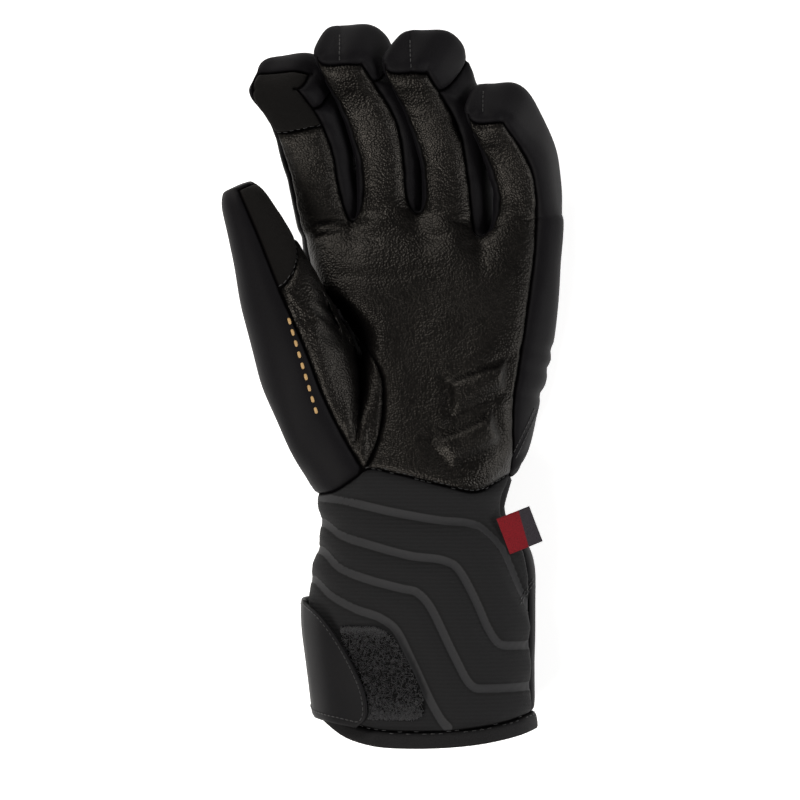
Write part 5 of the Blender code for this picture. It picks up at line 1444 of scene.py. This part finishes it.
def capsules(centres: Array, tangents: Array, normals: Array, length: float, radius: float,
             flat: float = 0.8) -> tuple[Array, Array]:
    """Rounded stitches: a short six-sided barrel with narrowed ends along each tangent.

    Args:
        centres: middle of each stitch.
        tangents: direction of each.
        normals: outward direction of each.
        length: stitch length.
        radius: thread radius.
        flat: height of the section over its width.
    Returns:
        Points, and the quads of all the stitches.
    """
    stations = np.array([-0.5, -0.42, -0.2, 0.2, 0.42, 0.5])
    widths = np.array([0.25, 0.8, 1.0, 1.0, 0.8, 0.25])
    turn = np.linspace(0, 2 * np.pi, 6, endpoint=False)
    side = unit(np.cross(normals, tangents))
    arch = 1 - (2 * stations) ** 2
    ring = (side[:, None, None] * (np.cos(turn) * radius)[None, None, :, None]
            + normals[:, None, None] * (np.sin(turn) * radius * flat)[None, None, :, None])
    points = (centres[:, None, None] + tangents[:, None, None] * (stations * length)[None, :, None, None]
              + ring * widths[None, :, None, None]
              + normals[:, None, None] * (arch * radius * 0.5)[None, :, None, None])
    count, rows, columns = points.shape[:3]
    ends = np.array([[3, 2, 1, 0], [0, 5, 4, 3]])
    tips = (rows - 1) * columns + ends[:, ::-1]
    faces = np.concatenate([grid_quads(rows, columns, True), ends, tips])
    every = faces[None] + (np.arange(count) * rows * columns)[:, None, None]
    return points.reshape(-1, 3), every.reshape(-1, 4)


def resample(path: Array, step: float) -> tuple[Array, Array]:
    """Points at even steps along a path, after light smoothing, with their tangents."""
    smooth = path.copy()
    for _ in range(3):
        smooth[1:-1] = (smooth[:-2] + 2 * smooth[1:-1] + smooth[2:]) / 4
    run = np.concatenate([[0], np.cumsum(np.linalg.norm(np.diff(smooth, axis=0), axis=1))])
    count = max(int(run[-1] / step), 1)
    at = (np.arange(count) + 0.5) * run[-1] / count
    read = lambda v: np.stack([np.interp(at, run, v[:, i]) for i in range(3)], -1)
    return read(smooth), unit(read(np.gradient(smooth, axis=0)))


@dataclass
class Stitching:
    """Rows of stitches laid on the surface beside its seams."""

    skin: Skin
    shift: Array
    pitch: float = 0.0026
    length: float = 0.0019
    radius: float = 0.00024
    # short seams of the softshell at the right: x and y of both ends
    shell_rows: tuple = (
        ((0.0606, 0.1415), (0.0507, 0.1208)), ((0.0622, 0.1409), (0.0523, 0.1200)),
        ((0.0537, 0.0602), (0.0598, 0.0688)), ((0.0537, 0.0582), (0.0600, 0.0668)),
    )  # fmt: skip

    def __post_init__(self) -> None:
        """Builds the search tree and the empty rows."""
        self.search = self.skin.tree()
        self.rows: list[tuple[Array, Array]] = []
        self.total = 0

    def along(self, path: Array, toward: Array | None = None, offset: float = 0.0,
              pitch: float | None = None, sink: float = 0.0) -> None:
        """Lays one row.

        Args:
            path: points of the line.
            toward: a place that the row is set off to, or None.
            offset: how far it is set off.
            pitch: stitch spacing, or None for the usual one.
            sink: how deep the stitches lie in the cloth.
        """
        points, tangents = resample(path, pitch or self.pitch)
        found = [self.search.find_nearest(Vector(p)) for p in points]
        normals = np.array([hit[1] for hit in found])
        if toward is not None:
            side = unit(np.cross(normals, tangents))
            sign = np.where(((toward - points) * side).sum(1) < 0, -1.0, 1.0)[:, None]
            moved = points + side * sign * offset
            found = [self.search.find_nearest(Vector(p)) for p in moved]
            normals = np.array([hit[1] for hit in found])
        places = np.array([hit[0] for hit in found])
        tangents = squared_off(tangents, normals)
        centres = places + normals * (self.radius * 0.4 - sink) + self.shift
        points, faces = capsules(centres, tangents, normals, self.length, self.radius)
        self.rows.append((points, faces + self.total))
        self.total += len(points)

    def drop(self, start: Sequence[float], stop: Sequence[float]) -> None:
        """Lays a row straight below a line in plan."""
        plan = np.linspace(start, stop, 24)
        hits = [self.search.ray_cast(Vector((x, y, 0.2)), DOWN)[0] for x, y in plan]
        self.along(np.array([hit for hit in hits if hit is not None]), pitch=0.0021)

    def piece(self, name: str, slot: str, material: bpy.types.Material) -> None:
        """Joins the rows into one piece and starts again."""
        points = np.concatenate([row[0] for row in self.rows])
        faces = np.concatenate([row[1] for row in self.rows])
        new_piece(name, points, faces, slot, material)
        self.rows, self.total = [], 0


@dataclass
class Panels:
    """Cuts the surface into its sewn panels, each a closed wall with a lining inside."""

    skin: Skin
    shift: Array
    finishes: Finishes
    wall: float = 0.0024
    tuck: float = 0.00015  # how far the panels' borders sink into the seam

    def build(self) -> dict[Panel, bpy.types.Object]:
        """Makes every panel's piece.

        Returns:
            The pieces by panel.
        """
        leather, suede = ("leather", self.finishes.leather), ("suede", self.finishes.suede)
        looks = {
            Panel.PALM: leather, Panel.THUMB_PALM: leather, Panel.INDEX_PATCH: suede,
            Panel.THUMB_PATCH: suede, Panel.CUFF_FRONT: ("knit", self.finishes.knit),
            Panel.HEM: ("hem", self.finishes.hem),
        }  # fmt: skip
        made = {}
        for panel in Panel:
            slot, material = looks.get(panel, ("softshell", self.finishes.shell))
            made[panel] = self._panel(panel, slot, material)
        return made

    def _panel(self, panel: Panel, slot: str, material: bpy.types.Material) -> bpy.types.Object:
        """Outer faces, the same faces set in by the wall, and the rim between them."""
        skin = self.skin
        quads = skin.quads[skin.panels == panel.number]
        used, local = np.unique(quads, return_inverse=True)
        local = local.reshape(quads.shape)
        outer = skin.co[used]
        inner = skin.plain[used] - skin.plain_normals(skin.plain)[used] * self.wall
        inner = inner + (outer - skin.plain[used]) * ease(skin.shade[used] * 6)[:, None]
        edge = np.concatenate([local[:, [k, (k + 1) % 4]] for k in range(4)])
        key = np.sort(edge, 1)
        _, index, count = np.unique(key, axis=0, return_index=True, return_counts=True)
        rim = edge[index[count == 1]]
        n = len(used)
        border = np.unique(rim)
        outer[border] -= skin.normals[used][border] * self.tuck
        walls = np.stack([rim[:, 1], rim[:, 0], rim[:, 0] + n, rim[:, 1] + n], -1)
        faces = np.concatenate([local, walls, local[:, ::-1] + n])
        points = np.concatenate([outer, inner]) + self.shift
        piece = new_piece(panel.value + "_sewn", points, faces, slot, material, self.finishes.lining)
        inside = np.zeros(len(faces), np.int32)
        inside[len(local) + len(walls) :] = 1
        piece.data.polygons.foreach_set("material_index", inside)
        seam = np.minimum(skin.seam_distance, FAR)
        for name, values in (("band", skin.band), ("seam", seam), ("shade", skin.shade)):
            keep_value(piece, name, np.tile(values[used], 2))
        nodes = [panel.value]
        if panel is Panel.PALM:
            nodes += ["heel_pad_upper", "heel_pad_lower"]
        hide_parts(*nodes)
        return piece


def closed_sheet(grid: Array, normals: Array, wall: float, edge: float = 0.45) -> tuple[Array, Array]:
    """A thin plate with rounded edges from an open grid.

    Args:
        grid: points [row, column, xyz] of its middle.
        normals: outward normals there.
        wall: full thickness.
        edge: share of the half thickness at the border.
    Returns:
        Points and quads of the closed shell.
    """
    rows, columns = grid.shape[:2]
    r, c = np.mgrid[:rows, :columns]
    inset = np.minimum.reduce([r, rows - 1 - r, c, columns - 1 - c])
    half = wall / 2 * np.where(inset == 0, edge, np.where(inset == 1, 0.88, 1.0))[..., None]
    top, low = grid + normals * half, grid - normals * half
    n = rows * columns
    quad = grid_quads(rows, columns)
    loop = np.concatenate([np.arange(columns - 1), np.arange(rows - 1) * columns + columns - 1,
                           (rows - 1) * columns + np.arange(columns - 1, 0, -1),
                           np.arange(rows - 1, 0, -1) * columns])
    onward = np.roll(loop, -1)
    walls = np.stack([onward, loop, loop + n, onward + n], -1)
    faces = np.concatenate([quad, walls, quad[:, ::-1] + n])
    return np.concatenate([top.reshape(-1, 3), low.reshape(-1, 3)]), faces[:, ::-1]


@dataclass
class Closure:
    """Strap that comes round from the back, and the loop pad that it closes on."""

    form: GloveForm
    shift: Array
    finishes: Finishes
    strap_wall: float = 0.0021
    pad_wall: float = 0.0013
    span: float = 0.34
    pile_count: int = 3300
    pile_radius: float = 0.00009
    # share down, share across at the strap's free edge
    edges: tuple = (
        (0.452, 0.005), (0.474, 0.040), (0.505, 0.09), (0.56, 0.135), (0.64, 0.18), (0.71, 0.21),
        (0.78, 0.235), (0.85, 0.245), (0.90, 0.235), (0.932, 0.19),
    )  # fmt: skip
    # share down, share across at the pad's left and right edge
    pad_edges: tuple = (
        (0.545, 0.16, 0.30), (0.575, 0.155, 0.37), (0.66, 0.16, 0.425), (0.75, 0.175, 0.47),
        (0.83, 0.20, 0.495), (0.875, 0.22, 0.49), (0.90, 0.24, 0.44),
    )  # fmt: skip

    def surface(self, across: Array, down: Array, lift: Array) -> tuple[Array, Array]:
        """Places and normals on the cuff, raised by lift along the normal."""
        wrap = lambda a, d: self.form.cuff_front_point(a, self.form.cuff_length * (1 - d))
        step = 1e-4
        sideways = wrap(across + step, down) - wrap(across - step, down)
        onward = wrap(across, down + step) - wrap(across, down - step)
        normal = unit(np.cross(onward, sideways))
        return wrap(across, down) + normal * np.asarray(lift)[..., None] + self.shift, normal

    def strap_grid(self, count_rows: int, count_columns: int) -> tuple[Array, Array, Array, Array]:
        """Grid of the strap's middle: its place, normals, share along and row share."""
        downs = np.array([row[0] for row in self.edges])
        free = np.array([row[1] for row in self.edges])
        share = np.linspace(0, 1, count_columns)[None] ** 0.9
        rows = np.linspace(0, 1, count_rows)[:, None]
        stations = np.linspace(0, 1, len(downs))
        down = smooth_line(stations, downs, rows)
        edge = smooth_line(stations, free, rows)
        across = -self.span + (edge + self.span) * share
        top, low = downs[0] - 0.005, 0.885
        tilt = share**2
        down = (top + (low - top) * rows) * (1 - tilt) + down * tilt
        over = 2 * LAY_GAP + self.pad_wall
        rise = (over - LAY_GAP) * ease((across + 0.04) / 0.14)
        lift = LAY_GAP + rise + self.strap_wall / 2
        stand = 0.0010 * bell(across + 0.03, 0.12) + 0.0012 * ease(across / 0.12) * bell(rows, 0.35)
        grid, normal = self.surface(across, down, lift + stand)
        return grid, normal, share + 0 * rows, rows + 0 * share

    def build(self) -> None:
        """Strap with its bound edge and stitches, and the fuzzy pad."""
        grid, normal, share, rows = self.strap_grid(44, 70)
        rib = bell(rows, 0.02) + bell(rows - 1, 0.02) + bell(share - 1, 0.012)
        soft = Noise(41).at(grid, 0.02) * 0.0003
        shaped = grid + normal * (0.0003 * rib + soft)[..., None]
        points, faces = closed_sheet(shaped, normal, self.strap_wall)
        strap = new_piece("closure_strap_sewn", points, faces, "strap", self.finishes.strap)
        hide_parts("closure_strap")
        self._strap_stitches(grid, normal)
        self._pad()

    def _strap_stitches(self, grid: Array, normal: Array) -> None:
        """One row of stitches just inside the strap's edge."""
        top = normal * (self.strap_wall / 2 + 0.00005)
        face = grid + top
        inside = [face[3, 20:-3], face[3:-3, -3], face[-4, 20:-3][::-1]]
        norms = [normal[3, 20:-3], normal[3:-3, -3], normal[-4, 20:-3][::-1]]
        path, norm = np.concatenate(inside), np.concatenate(norms)
        places, tangents = resample(path, 0.0023)
        run = np.linspace(0, len(norm) - 1, len(places)).round().astype(int)
        points, faces = capsules(places, tangents, norm[run], 0.0017, 0.00022)
        new_piece("strap_stitches", points, faces, "strap", self.finishes.thread)

    def _pad(self) -> None:
        """Rounded pad with thousands of small loops of pile on it."""
        stations = np.linspace(0, 1, len(self.pad_edges))
        read = lambda i, rows: smooth_line(stations, [row[i] for row in self.pad_edges], rows)
        share, rows = np.meshgrid(np.linspace(0, 1, 36), np.linspace(0, 1, 40))

        def spot(u: Array, v: Array, lift: Array) -> tuple[Array, Array]:
            """Places and normals at shares across and down the pad."""
            across = read(1, v) + (read(2, v) - read(1, v)) * u
            return self.surface(across, read(0, v) + 0 * u, lift)

        grid, normal = spot(share, rows, LAY_GAP + self.pad_wall / 2 + 0 * share)
        points, faces = closed_sheet(grid, normal, self.pad_wall)
        pad = new_piece("loop_pad_sewn", points, faces, "loop", self.finishes.loop)
        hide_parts("loop_pad")
        draw = np.random.default_rng(7)
        count = self.pile_count
        u, v = draw.uniform(0.01, 0.99, count), draw.uniform(0.01, 0.99, count)
        place, norm = spot(u, v, LAY_GAP + self.pad_wall + 0 * u)
        lean = unit(draw.normal(size=(count, 3)))
        flat = squared_off(lean, norm)
        upright = unit(norm + 0.6 * unit(draw.normal(size=(count, 3))))
        size = draw.uniform(0.00035, 0.00075, count)
        turn = np.linspace(0.0, np.pi, 5)
        middle = (place[:, None] + flat[:, None] * (np.cos(turn)[None, :, None] * size[:, None, None])
                  + upright[:, None] * (np.sin(turn)[None, :, None] * size[:, None, None] * 1.1))
        across = unit(np.cross(flat, upright))
        out = unit(middle - place[:, None])
        ring = np.radians([45, 135, 225, 315])
        wide, tall = (np.cos(ring) * self.pile_radius)[:, None], (np.sin(ring) * self.pile_radius)[:, None]
        tube = middle[:, :, None] + across[:, None, None] * wide + out[:, :, None] * tall
        quad = np.concatenate([grid_quads(5, 4, True), [[3, 2, 1, 0], [16, 17, 18, 19]]])
        quad = quad[None] + (np.arange(count) * 20)[:, None, None]
        new_piece("loop_pile", tube.reshape(-1, 3), quad.reshape(-1, 4), "loop", self.finishes.pile)


@dataclass
class SideLabel:
    """Folded woven tag in the cuff's side seam."""

    finishes: Finishes
    width: float = 0.0155
    length: float = 0.0160
    turn: float = 21.0
    tilt: float = 14.0

    def build(self) -> None:
        """Two layers joined by a round fold at the outer end, slightly waved."""
        low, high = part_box("side_label")
        turn, tilt = np.radians(self.turn), np.radians(self.tilt)
        u = np.concatenate([np.linspace(0, 1, 24), np.linspace(1, 0, 24)])
        fold = np.sin(np.linspace(0, np.pi, 48))
        height = 0.00055 * np.cos(np.linspace(0, np.pi, 48)) * (0.35 + 0.65 * ease(fold * 3))
        v = np.linspace(-0.5, 0.5, 20)
        uu, vv = np.meshgrid(u, v, indexing="ij")
        hh = np.broadcast_to(height[:, None], uu.shape) + 0.0004 * np.sin(4 * uu + 3 * vv) * uu
        x, y = uu * self.width, vv * self.length
        flat = np.stack([x * np.cos(tilt), y, hh - x * np.sin(tilt)], -1)
        spun = np.stack([flat[..., 0] * np.cos(turn) - flat[..., 1] * np.sin(turn),
                         flat[..., 0] * np.sin(turn) + flat[..., 1] * np.cos(turn), flat[..., 2]], -1)
        points = spun.reshape(-1, 3)
        points += (np.array(low) + np.array(high)) / 2 - (points.min(0) + points.max(0)) / 2
        rows, columns = spun.shape[:2]
        r, c = np.mgrid[:rows, : columns - 1]
        quad = np.stack([r * columns + c, ((r + 1) % rows) * columns + c,
                         ((r + 1) % rows) * columns + c + 1, r * columns + c + 1], -1).reshape(-1, 4)
        side = np.arange(rows) * columns
        faces = [*quad.tolist(), side[::-1].tolist(), (side + columns - 1).tolist()]
        piece = new_piece("side_label_woven", points, faces, "label", self.finishes.label)
        keep_value(piece, "field", 0.62 + 0.10 * vv - uu)
        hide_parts("side_label")


@dataclass
class HeatMark:
    """Plain gold dashes on the outer side of the thumb."""

    skin: Skin
    shift: Array
    finishes: Finishes
    length: float = 0.0028
    half_width: float = 0.0007
    flat: float = 0.12

    def build(self) -> None:
        """Short flat bars at even steps along a line down the thumb."""
        search = self.skin.tree()
        start, stop = np.array([-0.0435, 0.178, 0.06]), np.array([-0.0325, 0.1405, 0.06])
        places, normals = [], []
        for share in np.linspace(0, 1, 9):
            hit = search.ray_cast(Vector(start + (stop - start) * share + [0, 0, 0.05]), DOWN)
            places.append(hit[0])
            normals.append(hit[1])
        places, normals = np.array(places), np.array(normals)
        along = unit(np.broadcast_to(stop - start, places.shape))
        along = squared_off(along, normals)
        centres = places + normals * 0.00003 + self.shift
        points, faces = capsules(centres, along, normals, self.length, self.half_width, self.flat)
        new_piece("heat_dashes", points, faces, "softshell", self.finishes.gold)


class Studio:
    """Pale floor, soft lights and the camera straight above the palm."""

    SENSOR = 36  # mm
    REACH, VIEW, HEIGHT = 1.372, 0.344, 1.4  # to the glove, seen width, over the table

    def __init__(self, shift: Array) -> None:
        """Places everything.

        Args:
            shift: the glove's move from its maker's frame to the scene's.
        """
        self.shift = shift
        self._floor()
        self._lights()
        self._camera()

    def _floor(self) -> None:
        """A wide flat pale sheet just under the glove."""
        s = Shader("floor")
        s.finish(Base_Color=(0.92, 0.92, 0.92), Roughness=0.95, Specular_IOR_Level=0.0,
                 Emission_Color=(1.0, 1.0, 1.0), Emission_Strength=0.65)  # fmt: skip
        u, v = np.meshgrid(np.linspace(-3, 3, 5), np.linspace(-3, 3, 5))
        grid = np.stack([u, v, 0 * u - 0.0003], -1).reshape(-1, 3)
        data = bpy.data.meshes.new("floor")
        data.from_pydata(grid.tolist(), [], grid_quads(5, 5).tolist())
        data.materials.append(s.material)
        floor = bpy.data.objects.new("floor", data)
        bpy.context.scene.collection.objects.link(floor)

    def _lights(self) -> None:
        """Soft boxes at the lower left, the upper left and the right, and a pale world."""
        world = bpy.data.worlds.new("studio")
        bpy.context.scene.world = world
        world.use_nodes = True
        sky = next(n for n in world.node_tree.nodes if n.type == "BACKGROUND")
        sky.inputs[0].default_value = (1.0, 1.0, 1.0, 1.0)
        sky.inputs[1].default_value = 0.10
        bpy.context.scene.view_settings.view_transform = "Standard"
        for name, place, power_, size, colour in (
            ("low", (-0.60, -0.85, 1.15), 21.0, 0.5, (1.0, 0.97, 0.93)),
            ("key", (-0.60, 1.00, 0.70), 12.0, 0.5, (1.0, 0.97, 0.93)),
            ("side", (1.10, -0.10, 0.55), 9.0, 0.5, (1.0, 0.99, 0.98)),
        ):  # fmt: skip
            data = bpy.data.lights.new(name, "AREA")
            data.energy, data.size, data.color = power_, size, colour
            light = bpy.data.objects.new(name, data)
            light.location = place
            light.rotation_euler = (Vector((0, 0, 0.02)) - light.location).to_track_quat("-Z", "Y").to_euler()
            bpy.context.scene.collection.objects.link(light)

    def _camera(self) -> None:
        """Looks straight down from 1.4 m with a long lens."""
        data = bpy.data.cameras.new("camera")
        data.lens = self.SENSOR * self.REACH / self.VIEW
        camera = bpy.data.objects.new("camera", data)
        camera.location = (0.003 + self.shift[0], 0.1449 + self.shift[1], self.HEIGHT)
        bpy.context.scene.collection.objects.link(camera)
        bpy.context.scene.camera = camera


def find_shift(cage: Cage) -> Array:
    """Move from the maker's frame to the scene's, read from the hem's solid."""
    points, panels = np.concatenate(cage.points), np.concatenate(cage.panels)
    hem = points[np.concatenate(cage.quads)[panels == Panel.HEM.number].ravel()]
    low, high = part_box("cuff_hem")
    gap = 0.00025
    x = (low.x + high.x) / 2 - (hem[:, 0].min() + hem[:, 0].max()) / 2
    return np.array([x, low.y - gap - hem[:, 1].min(), 0.0])


def stitch_rows(skin: Skin, shift: Array, finishes: Finishes) -> None:
    """Stitches beside the leather's ends, the patches, the wrist seam and the hem."""
    work = Stitching(skin, shift)
    centre_of = lambda panel: skin.co[skin.quads[skin.panels == panel.number]].reshape(-1, 3).mean(0)
    for pair, side, offset in (
        ((Panel.PALM, Panel.INDEX_PATCH), Panel.INDEX_PATCH, 0.0010),
        ((Panel.PALM, Panel.CUFF_FRONT), Panel.PALM, 0.0013),
        ((Panel.THUMB_PALM, Panel.THUMB_PATCH), Panel.THUMB_PATCH, 0.0010),
    ):
        for chain in skin.seam_chains(*pair):
            if len(chain) > 6:
                work.along(skin.co[chain], centre_of(side), offset)
    work.piece("leather_stitches", "leather", finishes.thread)
    for panel in (Panel.CUFF_FRONT, Panel.CUFF_BACK):
        for chain in skin.seam_chains(panel, Panel.HEM):
            work.along(skin.co[chain], skin.co[chain].mean(0) + [0, -0.1, 0], 0.0016, 0.0034)
    work.piece("hem_stitches", "hem", finishes.thread)
    for start, stop in (*HandDetails.caps, *work.shell_rows):
        work.drop(start, stop)
    work.piece("shell_stitches", "softshell", finishes.thread)


def main() -> None:
    """Builds the glove, its trims and the studio."""
    form = GloveForm()
    cage = Cage(form)
    shift = find_shift(cage)
    LOG.info("shift %s", np.round(shift * 1000, 2))
    skin = cage.refined(2)
    LOG.info("surface: %d points, %d quads", len(skin.co), len(skin.quads))
    details = HandDetails(form)
    for shape in (details.bands, details.seams, details.heel_pads, details.palm_creases,
                  details.thumb_gap, details.thumb_folds, details.shell_folds, details.cap_seams,
                  details.hem):  # fmt: skip
        shape(skin)
    finishes = Finishes()
    pieces = Panels(skin, shift, finishes).build()
    stitch_rows(skin, shift, finishes)
    Closure(form, shift, finishes).build()
    SideLabel(finishes).build()
    HeatMark(skin, shift, finishes).build()
    Studio(shift)
    for piece in bpy.data.objects:
        if piece.type == "MESH" and not piece.hide_render:
            LOG.info("%s: %d faces", piece.name, len(piece.data.polygons))


if __name__ == "__main__":
    logging.basicConfig(level=logging.INFO)
    main()
